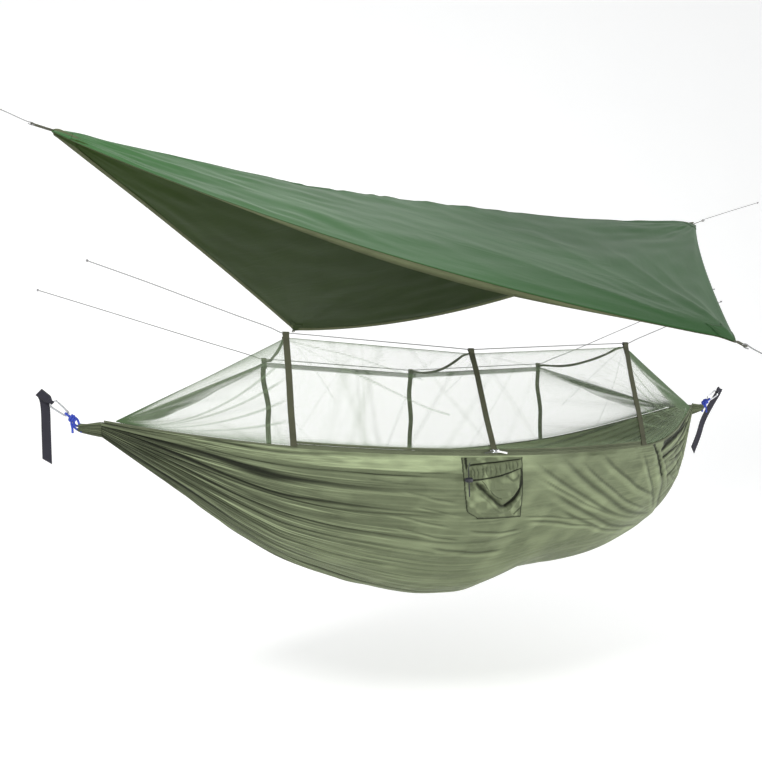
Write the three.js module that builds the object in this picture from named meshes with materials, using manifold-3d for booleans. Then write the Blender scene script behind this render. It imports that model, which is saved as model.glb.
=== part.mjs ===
// Camping hammock: a gathered-end bed with an insect net on two ridge lines, and a rain sheet pitched above it.
// Millimetres, +Z up. +X runs from the left anchor to the right one, and -Y is the front, with the zip and pocket.
// The origin is the fold of the left strap over its anchor.
import * as THREE from 'three';
import { mergeVertices } from 'three/addons/utils/BufferGeometryUtils.js';
import Module from 'manifold-3d';

const wasm = await Module();
wasm.setup();

// ---------------------------------------------------------------- driving dimensions
const clearance = 0.3; // between pieces that touch

// suspension
const anchorSpan = 2430; // between the folds of the two straps
const anchorRise = 17; // the right fold is this much higher
const leftRun = 119; // from the left fold to the left gathered end
const leftDrop = 103;
const rightRun = 111;
const rightDrop = 72;
const strapWidth = 24;
const strapThickness = 1.6;
const strapReachLeft = 50; // from the fold to the end of the sewn eye
const strapReachRight = 27;
const strapEyeWidth = 10; // the strap is folded to this width at its eye
const strapEyePlay = 1.4; // round the carabiner's wire
const strapTailCut = 18; // how far the slanted end runs up
// The loose ends' middle lines, from their own anchors down.
const leftTail = [[8, 0, -7], [13, 3.4, -20], [17, 6.2, -45], [21, 6.4, -110], [26, 6.4, -196]];
const rightTail = [
  [2, 1, 3], [-1, 5, -7], [-7, 9, -20], [-26, 15, -49], [-76, 20, -122], [-105, 20, -182], [-138, 20, -239],
];

// carabiners
const wireDiameter = 5.4;
const carabinerLength = 60;
const carabinerWidth = 27;
const carabinerNarrowWidth = 19;
const bowFlat = 3.4; // half the straight stretch of the narrow bow
const narrowBend = 4; // how far each bow's bends reach along the frame
const wideBend = 5;
const gateLength = 34;
const gateDiameter = 4.8;
const gateWall = 0.8;
const noseGap = 0.7; // lets the gate swing in past the nose
const gateSlotWidth = 2.4;
const gatePinDiameter = 1.8;
const gatePinPlay = 0.2;
const gateSpringWire = 0.5;

// end ropes
const ropeDiameter = 5.6;
const ropeRadius = ropeDiameter / 2;
const knotRadius = 7.4;
const knotLean = 0.3;
const ropeTailLength = 38;

// gathered ends
const gatherRadius = 15; // at the rope's groove
const gatherMouthRadius = 29;
const gatherLength = 62;
const gatherPleats = 9;
const pleatDepth = 3.2;

// bed
const clothThickness = 1.2; // the solid stands in for thinner cloth
const clothGap = clothThickness + clearance; // between the middles of two layers
const keelSag = 572; // below the line between the two gathered ends
const rimHalfWidthLeft = 271; // at the left pair of legs
const rimHalfWidthMiddle = 350;
const rimHalfWidthRight = 300;
const rimHeightLeft = -173;
const rimHeightMiddle = -208;
const rimHeightRight = -196;
const backRimLiftLeft = 3; // how much higher the back rim is
const backRimLiftMiddle = 4;
const backRimLiftRight = 27;
const sectionPower = 0.9; // 1 would make each section half an ellipse
const sidePanelShare = 0.065; // of each half of the section, from the rim to the seam
const bedSteps = 22; // facets along the bed; the hem stops one short at each end
const hemHeight = 6;
const hemThickness = 3.4;

// net, its legs and the ridge lines
const firstLegX = 659; // where the left pair of legs hangs on the ridge lines
const legSpacing = 557;
const legLean = 18; // the feet stand this much further right
const legWidth = 18;
const legThickness = 1.4;
const ridgeHalfWidth = 267;
const ridgeHeight = 142; // at the outer pairs of legs
const ridgeDip = 33; // the middle pair hangs this much lower
const ridgeLineDiameter = 3;
const legEyeRadius = 3.7; // inside
const legStandOff = 4.4; // of the feet from the net, whose facets bulge past them
const netThickness = 0.8;
const roofSag = 30;
const roofDrop = 13; // the roof's edges below the ridge lines
const slopeStart = 0.035; // the net's ends start at this share of the bed's length
const slopeTipHeight = 10;
const slopeLift = 1.6; // clear of the hem's facets
const slopeZipFrom = 0.8; // and rise to the zip's height from this share of their own length

// zip along the front rim
const tapeHeight = 4;
const tapeSeam = 1; // of the lower tape inside the hem
const tapeThickness = 0.9;
const coilHeight = 2.6; // each half of the chain
const coilThickness = 2.2;
const chainGap = 1.2; // between the two halves, where the sliders' wedge runs
const sliderLength = 13;
const sliderWall = 1.1;
const sliderHeight = 9;
const sliderPlay = 0.5; // over the chain's faces
const sliderSpacing = 2; // between the two, where they meet
const wedgeThickness = 0.6;
const wedgeLength = 4;
const bridgeHeight = 4.6;
const bridgeBar = 1.4;
const pullLength = 27;
const pullWidth = 4.8;
const pullThickness = 1.4;
const pullEyeRadius = 2.2;
const pullDroop = 0.2; // radians below the zip's own line
const meetingShare = 0.505; // of the zip's length, where the two sliders meet

// pocket with its drawcord
const pocketX = 1234; // middle of the pocket
const pocketWidth = 188;
const pocketHeight = 172;
const pocketMargin = 23; // flat at the left, where the drawcord comes out
const pocketTopDrop = 12; // below the rim
const pocketBulge = 16;
const pocketMouth = 15; // how far the top edge stands open
const channelHeight = 30;
const channelDepth = 6;
const channelEndWall = 3;
const channelRuffles = 9;
const channelRuffleShare = 0.22; // of the channel's depth
const drawcordDiameter = 2;
const drawcordSpacing = 3.2; // between the middles of the two strands
const drawcordX = 1151;
const drawcordY = -359;
const lockZ = -273;
const lockDiameter = 14;
const lockLength = 17;
const lockWall = 1.6;
const cordPlay = 0.4; // on each side of the strands
const plungerReach = 5; // how far the button stands out
const plungerTravel = 3;
const plungerFloor = 1.5; // behind the strands
const springWire = 0.7;
const springTurns = 3;
// Both strands come out of the channel, run down through the lock and meet in a bight.
const drawcordRoute = [
  [1158.8, -353.4, -233], [1156.8, -354.6, -233.4], [1154.4, -356.2, -235.4], [1152, -357.2, -239.6],
  [1151, -357.4, -247], [1151, -357.4, -262], [1151, -357.4, -285], [1151, -357.2, -306],
  [1151, -356.8, -313], [1151, -357.3, -317.2], [1151, -359, -319], [1151, -360.7, -317.2],
  [1151, -361.2, -313], [1151, -360.8, -306], [1151, -360.6, -285], [1151, -360.6, -262],
  [1151, -360.6, -247], [1151.6, -360.2, -237], [1153.6, -359, -229.6], [1156.4, -357, -226.4],
  [1158.8, -355.6, -226],
];

// rain sheet, with one fold from corner to corner
const sheetThickness = 1;
const sheetLeft = [0, 0, 775];
const sheetRight = [2369, 0, 688];
const sheetNear = [1561, -886, 40];
const sheetFar = [903, 1104, 405];
const sheetRidgeSag = 62;
const sheetNearSag = 52;
const sheetFarSag = 110;
const sheetSideBow = 30;
const sheetCornerTrim = 0.006; // share of the fold's length cut off at each end of it
const patchSize = 58;
const patchThickness = 2;
const patchHeight = 1.85; // of the patches' middle above the cloth's middle
const loopWidth = 15;
const loopHole = 7;
const loopSeat = 3; // how far the strap runs back over its patch
const loopRise = 2.5; // of the strap's start above the cloth
const sideLoopLength = 60;
const cornerLoopLength = 30;
const guyDiameter = 3;
const cordKnotRadius = 4.2;
// Chosen points: through the eye of the corner's strap from below, back over its end and outwards.
const leftGuyline = [
  [-50.2, 0, 788.3], [-42.7, 0, 785.4], [-37.5, 0, 785.7], [-36.3, 0, 790.5], [-40.9, 0, 793.1],
  [-49, 0, 793.6], [-62, 0, 797.5], [-100, 0, 812.6], [-145, 0, 829],
];
const rightGuyline = [
  [2417.2, 0, 710.2], [2410.1, 0, 706.4], [2404.9, 0, 706.1], [2403.1, 0, 710.7], [2407.3, 0, 713.9],
  [2415.3, 0, 715.4], [2430, 0, 720.2], [2570, 0, 768], [2705, 0, 813],
];
const nearGuyline = [
  [1562.8, -913.9, 20.9], [1562.4, -906.6, 24.4], [1562.1, -903.3, 28.4], [1562.1, -906.1, 32.6],
  [1562.4, -911.1, 31], [1562.8, -917, 25.5], [1563.5, -929, 16.5], [1565, -950, 2.5], [1567, -972, -12.5],
];
// Where the corners' straps point.
const leftPull = [-0.973, 0, 0.23];
const rightPull = [0.937, 0, 0.35];
const nearPull = [0.05, -0.83, -0.556];
const farPull = [0, 0.96, -0.2];

// ---------------------------------------------------------------- colours
const colours = {
  bed: [0x7f9068, 0.62],
  hem: [0x55603f, 0.7],
  net: [0xc9cfc4, 0.8],
  webbing: [0x5a5c3f, 0.8],
  rope: [0x2d3f9c, 0.55],
  strap: [0x25222f, 0.75],
  cord: [0x85858a, 0.7],
  steel: [0xd4d6d8, 0.25, 0.9],
  plastic: [0x1c1c20, 0.4],
  rainSheet: [0x5f8663, 0.5],
};

// ---------------------------------------------------------------- helpers
const vec = (x, y, z) => new THREE.Vector3(x, y, z);
const { lerp, clamp } = THREE.MathUtils;
const hammock = new THREE.Group();

function add(name, geometry, colour) {
  const [color, roughness, metalness = 0] = colours[colour];
  const material = new THREE.MeshStandardMaterial({ color, roughness, metalness });
  const mesh = new THREE.Mesh(geometry, material);
  mesh.name = name;
  hammock.add(mesh);
  return mesh;
}

// Six times the signed volume of a closed triangle list, to tell which way its faces point.
function signedVolume(geometry) {
  const g = geometry.index ? geometry.toNonIndexed() : geometry;
  const p = g.attributes.position;
  const [a, b, c] = [vec(), vec(), vec()];
  let sum = 0;
  for (let i = 0; i < p.count; i += 3) {
    a.fromBufferAttribute(p, i);
    b.fromBufferAttribute(p, i + 1);
    c.fromBufferAttribute(p, i + 2);
    sum += a.dot(b.cross(c));
  }
  return sum;
}

function merged(geometry) {
  const g = geometry.clone();
  for (const name of ['normal', 'uv']) g.deleteAttribute(name);
  const whole = mergeVertices(g, 1e-4);
  if (signedVolume(whole) < 0) {
    const index = whole.index.array;
    for (let i = 0; i < index.length; i += 3) [index[i], index[i + 1]] = [index[i + 1], index[i]];
  }
  return whole;
}

function solid(geometry) {
  const g = merged(geometry);
  const vertProperties = new Float32Array(g.attributes.position.array);
  const triVerts = new Uint32Array(g.index.array);
  return new wasm.Manifold(new wasm.Mesh({ numProp: 3, vertProperties, triVerts }));
}

function geometryOf(manifold) {
  const mesh = manifold.getMesh();
  const g = new THREE.BufferGeometry();
  g.setAttribute('position', new THREE.BufferAttribute(new Float32Array(mesh.vertProperties), 3));
  g.setIndex(new THREE.BufferAttribute(new Uint32Array(mesh.triVerts), 1));
  g.computeVertexNormals();
  return g;
}

const joined = (...parts) => geometryOf(parts.map(solid).reduce((whole, part) => whole.add(part)));
const cutBy = (part, ...tools) =>
  geometryOf(tools.map(solid).reduce((left, tool) => left.subtract(tool), solid(part)));

// A thin closed solid around a surface point(u, v), u and v from 0 to 1, or lifted off it along its normal.
function sheet(point, uSteps, vSteps, thickness, lift = 0) {
  const positions = [];
  const index = [];
  const normal = (u, v) => {
    const e = 1e-4;
    const du = point(Math.min(u + e, 1), v).sub(point(Math.max(u - e, 0), v));
    const dv = point(u, Math.min(v + e, 1)).sub(point(u, Math.max(v - e, 0)));
    return du.cross(dv).normalize();
  };
  for (const side of [0.5, -0.5]) {
    for (let i = 0; i <= uSteps; i++) {
      for (let j = 0; j <= vSteps; j++) {
        const [u, v] = [i / uSteps, j / vSteps];
        positions.push(...point(u, v).addScaledVector(normal(u, v), lift + side * thickness));
      }
    }
  }
  const lower = (uSteps + 1) * (vSteps + 1);
  const at = (i, j) => i * (vSteps + 1) + j;
  for (let i = 0; i < uSteps; i++) {
    for (let j = 0; j < vSteps; j++) {
      const [a, b, c, d] = [at(i, j), at(i + 1, j), at(i + 1, j + 1), at(i, j + 1)];
      index.push(a, b, c, a, c, d, lower + a, lower + c, lower + b, lower + a, lower + d, lower + c);
    }
  }
  const wall = (a, b) => index.push(a, lower + a, lower + b, a, lower + b, b);
  for (let i = 0; i < uSteps; i++) {
    wall(at(i, 0), at(i + 1, 0));
    wall(at(i + 1, vSteps), at(i, vSteps));
  }
  for (let j = 0; j < vSteps; j++) {
    wall(at(uSteps, j), at(uSteps, j + 1));
    wall(at(0, j + 1), at(0, j));
  }
  return surfaceOf(positions, index);
}

function surfaceOf(positions, index) {
  const g = new THREE.BufferGeometry();
  g.setAttribute('position', new THREE.Float32BufferAttribute(positions, 3));
  g.setIndex(index);
  const whole = merged(g);
  whole.computeVertexNormals();
  return whole;
}

function polygon(radius, sides) {
  const turn = (i) => ((i + 0.5) / sides) * 2 * Math.PI;
  const corner = (i) => new THREE.Vector2(radius * Math.cos(turn(i)), radius * Math.sin(turn(i)));
  return new THREE.Shape(Array.from({ length: sides }, (_, i) => corner(i)));
}

// A smooth route that is stepped evenly from point to point, so that each chosen point is met.
class Route extends THREE.CatmullRomCurve3 {
  constructor(points) {
    super(points, false, 'centripetal');
  }

  getUtoTmapping(u) {
    return u;
  }
}

function swept(shape, curve, steps) {
  return merged(new THREE.ExtrudeGeometry(shape, { steps, extrudePath: curve, bevelEnabled: false }));
}

function cordAlong(points, diameter, stepsPerSpan, sides = 8) {
  return swept(polygon(diameter / 2, sides), new Route(points), (points.length - 1) * stepsPerSpan);
}

function extruded(shape, depth) {
  const g = new THREE.ExtrudeGeometry(shape, { depth, bevelEnabled: false, curveSegments: 6 });
  return g.translate(0, 0, -depth / 2);
}

function rod(radius, length, sides = 12) {
  return new THREE.CylinderGeometry(radius, radius, length, sides);
}

// Turns a geometry drawn with X along it, Y across it and Z through it so that it starts at a point.
function placed(geometry, start, along, across) {
  const x = along.clone().normalize();
  const z = x.clone().cross(across).normalize();
  const y = z.clone().cross(x);
  const frame = new THREE.Matrix4().makeBasis(x, y, z).setPosition(start);
  return geometry.clone().applyMatrix4(frame);
}

// A smooth curve through [x, value] stations, read at any x.
function throughStations(stations) {
  const slope = (i) => {
    const [before, after] = [stations[Math.max(i - 1, 0)], stations[Math.min(i + 1, stations.length - 1)]];
    return (after[1] - before[1]) / (after[0] - before[0]);
  };
  return (x) => {
    const i = clamp(stations.findIndex((s) => s[0] > x) - 1, 0, stations.length - 2);
    const k = x >= stations.at(-1)[0] ? stations.length - 2 : i;
    const [[x0, y0], [x1, y1]] = [stations[k], stations[k + 1]];
    return hermite(y0, slope(k) * (x1 - x0), y1, slope(k + 1) * (x1 - x0), (x - x0) / (x1 - x0));
  };
}

// Straight stretches through [u, value] stops, read at any u.
function alongStops(stops) {
  return (u) => {
    const next = Math.max(stops.findIndex((stop) => stop[0] >= u), 1);
    const [[u0, a], [u1, b]] = [stops[next - 1], stops[next]];
    return lerp(a, b, (u - u0) / (u1 - u0));
  };
}

function hermite(p0, m0, p1, m1, t) {
  const [t2, t3] = [t * t, t * t * t];
  return (2 * t3 - 3 * t2 + 1) * p0 + (t3 - 2 * t2 + t) * m0 + (3 * t2 - 2 * t3) * p1 + (t3 - t2) * m1;
}

// The circular arc from a to b through m: its centre, axis, radius and angle, and the point at a share of it.
function arcThrough(a, m, b) {
  const [toMiddle, toEnd] = [m.clone().sub(a), b.clone().sub(a)];
  const normal = toMiddle.clone().cross(toEnd);
  const offset = normal.clone().cross(toMiddle).multiplyScalar(toEnd.lengthSq());
  offset.add(toEnd.clone().cross(normal).multiplyScalar(toMiddle.lengthSq()));
  const centre = a.clone().addScaledVector(offset, 1 / (2 * normal.lengthSq()));
  const axis = normal.normalize();
  const spoke = a.clone().sub(centre);
  const angle = spoke.angleTo(b.clone().sub(centre));
  const at = (share) => centre.clone().add(spoke.clone().applyAxisAngle(axis, share * angle));
  return { centre, axis, angle, radius: spoke.length(), at };
}

// ---------------------------------------------------------------- the bed's outline
const leftAnchor = vec(0, 0, 0);
const rightAnchor = vec(anchorSpan, 0, anchorRise);
const leftGather = vec(leftRun, 0, -leftDrop);
const rightGather = vec(anchorSpan - rightRun, 0, anchorRise - rightDrop);
const bedStart = leftGather.x + gatherLength - gatherRadius + 2 * clearance;
const bedEnd = rightGather.x - gatherLength + gatherRadius - 2 * clearance;
const gatherLineZ = (x) => lerp(leftGather.z, rightGather.z, (x - leftGather.x) / (rightGather.x - leftGather.x));

const legX = [0, 1, 2].map((i) => firstLegX + i * legSpacing);
const ridgeZ = (x) => ridgeHeight - ridgeDip * Math.max(0, 1 - Math.abs(x - legX[1]) / legSpacing);

const rimWidths = [rimHalfWidthLeft, rimHalfWidthMiddle, rimHalfWidthRight];
const rimHeights = [rimHeightLeft, rimHeightMiddle, rimHeightRight];
const backLifts = [backRimLiftLeft, backRimLiftMiddle, backRimLiftRight];
const rimFoot = (side, i) =>
  vec(legX[i] + legLean, side * rimWidths[i], rimHeights[i] + (side > 0 ? backLifts[i] : 0));
const rimArc = Object.fromEntries(
  [-1, 1].map((side) => [side, arcThrough(rimFoot(side, 0), rimFoot(side, 1), rimFoot(side, 2))]),
);
const arcStart = (legX[0] + legLean - bedStart) / (bedEnd - bedStart);
const arcEnd = (legX[2] + legLean - bedStart) / (bedEnd - bedStart);
const mouthLift = gatherMouthRadius * 0.5; // the cloth's edges start this far above the gathered end's axis
const mouthSpread = gatherMouthRadius * 0.72; // and this far to each side of it

// From a gathered end to the arc, leaving the arc along its tangent.
function rimLeadIn(side, x) {
  const arc = rimArc[side];
  const left = x < legX[1];
  const end = arc.at(left ? 0 : 1);
  const near = arc.at(left ? 0.001 : 0.999);
  const startX = left ? bedStart : bedEnd;
  const start = vec(startX, side * mouthSpread, gatherLineZ(startX) + mouthLift);
  const span = end.x - start.x;
  const t = (x - start.x) / span;
  const value = (axis) => {
    const endSlope = (end[axis] - near[axis]) / (end.x - near.x);
    const chord = (end[axis] - start[axis]) / span;
    return hermite(start[axis], 1.25 * chord * span, end[axis], endSlope * span, t);
  };
  return vec(x, value('y'), value('z'));
}

// The rim's point at a share s of the bed's length.
function rimAt(side, s) {
  if (s > arcStart && s < arcEnd) return rimArc[side].at((s - arcStart) / (arcEnd - arcStart));
  return rimLeadIn(side, lerp(bedStart, bedEnd, s));
}

// How far the keel hangs below the line between the gathered ends, as shares of the span and of its sag.
const keelShares = [[0.1, 0.29], [0.25, 0.72], [0.4, 0.95], [0.5, 1], [0.6, 0.915], [0.75, 0.83], [0.9, 0.545]];
const keelSpan = rightGather.x - leftGather.x;
const keelDrop = throughStations([
  [bedStart, gatherMouthRadius],
  ...keelShares.map(([along, share]) => [leftGather.x + along * keelSpan, share * keelSag]),
  [bedEnd, gatherMouthRadius],
]);

// The bed's cloth: s along it, and turn from -1 at the front rim to 1 at the back rim.
function bedPoint(s, turn) {
  const [front, back] = [rimAt(-1, s), rimAt(1, s)];
  const rim = turn < 0 ? front : back;
  const x = lerp(front.x, back.x, (turn + 1) / 2);
  const angle = (Math.abs(turn) * Math.PI) / 2;
  const keel = gatherLineZ(x) - keelDrop(x);
  const z = lerp(rim.z, keel, Math.cos(angle) ** sectionPower);
  return vec(x, rim.y * Math.sin(angle), z);
}

// Half the length of the cloth across the bed, for seams and gaps of a real width.
function halfGirth(s) {
  const rim = rimAt(-1, s);
  const depth = rim.z - (gatherLineZ(rim.x) - keelDrop(rim.x));
  return 1.18 * Math.hypot(rim.y, depth);
}

// ---------------------------------------------------------------- bed
function bedPanel(fromTurn, toTurn, acrossSteps) {
  const point = (s, t) => {
    const edge = clearance / halfGirth(s);
    return bedPoint(s, lerp(fromTurn + edge, toTurn - edge, t));
  };
  return sheet(point, bedSteps, acrossSteps, clothThickness);
}

// A strip standing on the rim, from one height above it to another.
function rimStrip(side, from, to, low, high, thickness, alongSteps) {
  const point = (s, t) => rimAt(side, lerp(from, to, s)).add(vec(0, 0, lerp(low, high, t)));
  return sheet(point, alongSteps, 1, thickness);
}

const rimHem = (side) =>
  rimStrip(side, 1 / bedSteps, 1 - 1 / bedSteps, 0, hemHeight, hemThickness, bedSteps - 2);

function makeBed() {
  const seam = 1 - sidePanelShare;
  add('bed_front_panel', bedPanel(-1, -seam, 2), 'bed');
  add('bed_centre_panel', bedPanel(-seam, seam, 10), 'bed');
  add('bed_back_panel', bedPanel(seam, 1, 2), 'bed');
  add('rim_hem_front', joined(rimHem(-1), ...zipHalf(-1)), 'hem');
  add('rim_hem_back', rimHem(1), 'hem');
}

const grooveAt = gatherLength * 0.17; // the rope's turn, from the bunch's end
const pleatAt = (t) => pleatDepth * (0.35 + 0.65 * t);
const collarRadius = gatherRadius - ropeRadius + pleatAt(grooveAt / gatherLength) + clearance; // inside the rope

// The bunched end: cloth pleated round its own axis, grooved where the rope grips it and flared towards the bed.
function gatheredEnd() {
  const sides = gatherPleats * 4;
  const groove = grooveAt / gatherLength;
  const grooveHalf = (1.1 * ropeDiameter) / gatherLength;
  const stations = [0, groove - grooveHalf, groove - grooveHalf * 0.3, groove + grooveHalf * 0.3,
    groove + grooveHalf, 0.65, 1];
  const radiusAt = (t) => {
    const flare = Math.max(0, (t - groove - grooveHalf) / (1 - groove - grooveHalf)) ** 0.8;
    const radius = lerp(gatherRadius, gatherMouthRadius - pleatDepth, flare);
    return Math.abs(t - groove) < grooveHalf / 2 ? radius - ropeRadius : radius;
  };
  const ring = (t) =>
    Array.from({ length: sides }, (_, i) => {
      const angle = (i / sides) * 2 * Math.PI;
      const radius = radiusAt(t) + pleatAt(t) * Math.cos(gatherPleats * angle);
      return vec(t * gatherLength, radius * Math.cos(angle), radius * Math.sin(angle));
    });
  const rings = stations.map(ring);
  const positions = rings.flat().flatMap((p) => [...p]);
  positions.push(0, 0, 0, gatherLength, 0, 0);
  const tip = rings.length * sides;
  const last = tip - sides;
  const index = [];
  for (let i = 0; i < sides; i++) {
    const next = (i + 1) % sides;
    for (let a = i, b = next; a < last; a += sides, b += sides) {
      index.push(a, a + sides, b + sides, a, b + sides, b);
    }
    index.push(tip, i, next, tip + 1, last + next, last + i);
  }
  return surfaceOf(positions, index);
}

function makeGathers() {
  const ends = [['left', leftGather, 1], ['right', rightGather, -1]];
  for (const [name, gather, way] of ends) {
    const geometry = placed(gatheredEnd(), vec(), vec(way, 0, 0), vec(0, way, 0));
    add(`gather_${name}`, geometry, 'bed').position.copy(gather).add(vec(-way * gatherRadius, 0, 0));
  }
}

// ---------------------------------------------------------------- suspension at each end
// Drawn with X from the anchor towards the gathered end, Y across the strap and Z towards one face.
const wireRadius = wireDiameter / 2;
const eyeInside = wireRadius + strapEyePlay;
const bowInset = strapThickness + wireRadius + clearance; // of the bow's wire, from the eye's end

function strapLeg(strapReach) {
  const outer = eyeInside + strapThickness;
  const eyeX = strapReach - outer;
  const neck = eyeX - 1.8 * outer;
  const side = new THREE.Shape();
  side.moveTo(neck, -strapThickness);
  side.lineTo(eyeX, -outer);
  side.absarc(eyeX, 0, outer, -Math.PI / 2, Math.PI / 2, false);
  side.lineTo(neck, strapThickness);
  const eye = new THREE.Path();
  eye.moveTo(neck + 2 * strapThickness, 0);
  eye.lineTo(eyeX, eyeInside);
  eye.absarc(eyeX, 0, eyeInside, Math.PI / 2, -Math.PI / 2, true);
  side.holes.push(eye);
  const eyePart = extruded(side, strapEyeWidth).rotateX(Math.PI / 2);
  const leg = new THREE.BoxGeometry(neck + 2 * strapThickness, strapWidth, 2 * strapThickness);
  leg.translate(neck / 2, 0, 0);
  return joined(eyePart, leg);
}

// The loose end of the strap, which hangs down behind the rest and is cut at a slant.
function strapTail(anchor, route) {
  const path = new Route(route.map((p) => vec(...p).add(anchor)));
  const point = (u, v) => {
    const across = path.getTangent(u).cross(vec(0, 1, 0)).normalize();
    const slant = path.getTangent(u).multiplyScalar(strapTailCut * (v - 0.5) * u ** 4);
    return path.getPoint(u).addScaledVector(across, (v - 0.5) * strapWidth).add(slant);
  };
  return sheet(point, (route.length - 1) * 2, 1, strapThickness);
}

// The carabiner lies in XY, its wide bow at the origin and its narrow bow at reach. Its gate closes the +Y side.
const reach = carabinerLength - wireDiameter;
const [wideHalf, narrowHalf] = [carabinerWidth, carabinerNarrowWidth].map((width) => (width - wireDiameter) / 2);
const gateEnds = (reach - gateLength) / 2;
const hinge = vec(reach - gateEnds, lerp(wideHalf, narrowHalf, 0.85), 0);
const nose = vec(gateEnds, lerp(wideHalf, narrowHalf, 0.1), 0);
const earRadius = wireRadius + 0.6;

function carabinerFrame() {
  const points = [
    [hinge.x, hinge.y], [reach - narrowBend, narrowHalf * 0.9], [reach, bowFlat], [reach, -bowFlat],
    [reach - narrowBend, -narrowHalf * 0.9], [reach * 0.72, -lerp(wideHalf, narrowHalf, 0.8)],
    [reach * 0.4, -lerp(wideHalf, narrowHalf, 0.3)], [wideBend, -wideHalf * 0.92], [0, -wideHalf * 0.5],
    [0, wideHalf * 0.5], [wideBend, wideHalf * 0.92], [nose.x - clearance, nose.y],
  ];
  const wire = cordAlong(points.map(([x, y]) => vec(x, y, 0)), wireDiameter, 2);
  const earThickness = wireDiameter + 1.2;
  const ears = rod(earRadius, earThickness).rotateX(Math.PI / 2).translate(hinge.x, hinge.y, 0);
  const slot = rod(earRadius + clearance, gateSlotWidth, 16);
  slot.rotateX(Math.PI / 2).translate(hinge.x, hinge.y, 0);
  return cutBy(joined(wire, ears), slot, pinAlong(gatePinDiameter / 2 + gatePinPlay, 2 * earThickness));
}

const pinAlong = (radius, length) => rod(radius, length).rotateX(Math.PI / 2).translate(hinge.x, hinge.y, 0);

// The gate is drawn from its pin along X, with its return spring in a bore, and turned to meet the nose.
function carabinerGate() {
  const start = earRadius + clearance;
  const length = hinge.distanceTo(nose) - start - noseGap;
  const along = (geometry, from, to) => geometry.rotateZ(Math.PI / 2).translate((from + to) / 2, 0, 0);
  const barrel = along(rod(gateDiameter / 2, length), start, start + length);
  const tongueThickness = gateSlotWidth - 2 * clearance;
  const tongue = rod(wireRadius, tongueThickness).rotateX(Math.PI / 2);
  const neck = new THREE.BoxGeometry(start + 2, gateDiameter * 0.75, tongueThickness).translate(start / 2 + 1, 0, 0);
  const [boreFrom, boreTo] = [start + gateWall * 2, start + length - gateWall * 4];
  const bore = along(rod(gateDiameter / 2 - gateWall, boreTo - boreFrom, 8), boreFrom, boreTo);
  const drain = rod(0.6, gateDiameter, 8).translate((boreFrom + boreTo) / 2, gateDiameter / 2, 0);
  const pinHole = rod(gatePinDiameter / 2 + clearance, gateDiameter).rotateX(Math.PI / 2);
  const springRadius = gateDiameter / 2 - gateWall - clearance;
  const spring = springAlong(springRadius, boreTo - boreFrom - 2 * clearance, gateSpringWire, 4);
  const angle = Math.atan2(nose.y - hinge.y, nose.x - hinge.x);
  const turned = (geometry) => geometry.rotateZ(angle).translate(hinge.x, hinge.y, 0);
  return {
    gate: turned(cutBy(joined(barrel, neck, tongue), bore, drain, pinHole)),
    spring: turned(spring.translate((boreFrom + boreTo) / 2, 0, 0)),
  };
}

// A coil spring along X, centred on the origin.
function springAlong(outerRadius, length, wire, turns) {
  const radius = outerRadius - wire / 2;
  const coil = new THREE.Curve();
  coil.getPoint = (t, target = vec()) => {
    const angle = t * turns * 2 * Math.PI;
    return target.set((t - 0.5) * (length - wire), radius * Math.cos(angle), radius * Math.sin(angle));
  };
  return swept(polygon(wire / 2, 4), coil, turns * 9);
}

// The rope's eye over the narrow bow and its knot, drawn from the anchor.
function ropeEyeAndKnot(bowX) {
  const eyeRadius = wireRadius + 3 * clearance + ropeRadius;
  const knotX = bowX + eyeRadius + knotRadius;
  const eye = new THREE.TorusGeometry(eyeRadius, ropeRadius, 6, 12).rotateX(Math.PI / 2).translate(bowX, 0, 0);
  const core = new THREE.SphereGeometry(knotRadius * 0.85, 8, 6).translate(knotX, 0, 0);
  const wraps = [-0.4, 0.4].map((shift) =>
    new THREE.TorusGeometry(knotRadius - ropeRadius * 0.7, ropeRadius, 6, 8)
      .rotateY(Math.PI / 2)
      .rotateZ(knotLean)
      .translate(knotX + shift * ropeDiameter, 0, 0),
  );
  return { parts: [eye, core, ...wraps], knotX };
}

// The two strands from the knot over the bunch's end to the turn in its groove.
function ropeStrands(knot, gather, way) {
  const endX = gather.x - way * gatherRadius;
  const over = gatherRadius + pleatAt(0) + ropeRadius + 3 * clearance;
  return [-1, 1].map((side) =>
    cordAlong(
      [
        knot.clone().add(vec(0, 0, side)),
        vec(endX - way * 2.2 * ropeDiameter, 0, lerp(knot.z, gather.z, 0.6) + side * over * 0.65),
        vec(endX, 0, gather.z + side * over),
        vec(endX + way * grooveAt, 0, gather.z + side * (collarRadius + ropeRadius)),
      ],
      ropeDiameter, 2, 6,
    ),
  );
}

// A loose end that hangs from the knot, swung a little towards the bed.
function ropeTail(knot, swing) {
  const points = [[0, 0, 0], [0.3, -0.5, -0.55], [0.75, -0.6, -1.6], [1, -0.5, -2.4]];
  const [side, drop] = [swing * knotRadius, ropeTailLength / 2.4];
  return cordAlong(
    points.map(([x, y, z]) => knot.clone().add(vec(x * side, y * knotRadius, z * drop))),
    ropeDiameter * 0.9, 2, 6,
  );
}

// The rope's turn in the groove of the gathered end.
function collar(centre) {
  const ring = new THREE.TorusGeometry(collarRadius + ropeRadius, ropeRadius, 6, 16).rotateY(Math.PI / 2);
  return ring.translate(centre.x, centre.y, centre.z);
}

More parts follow.
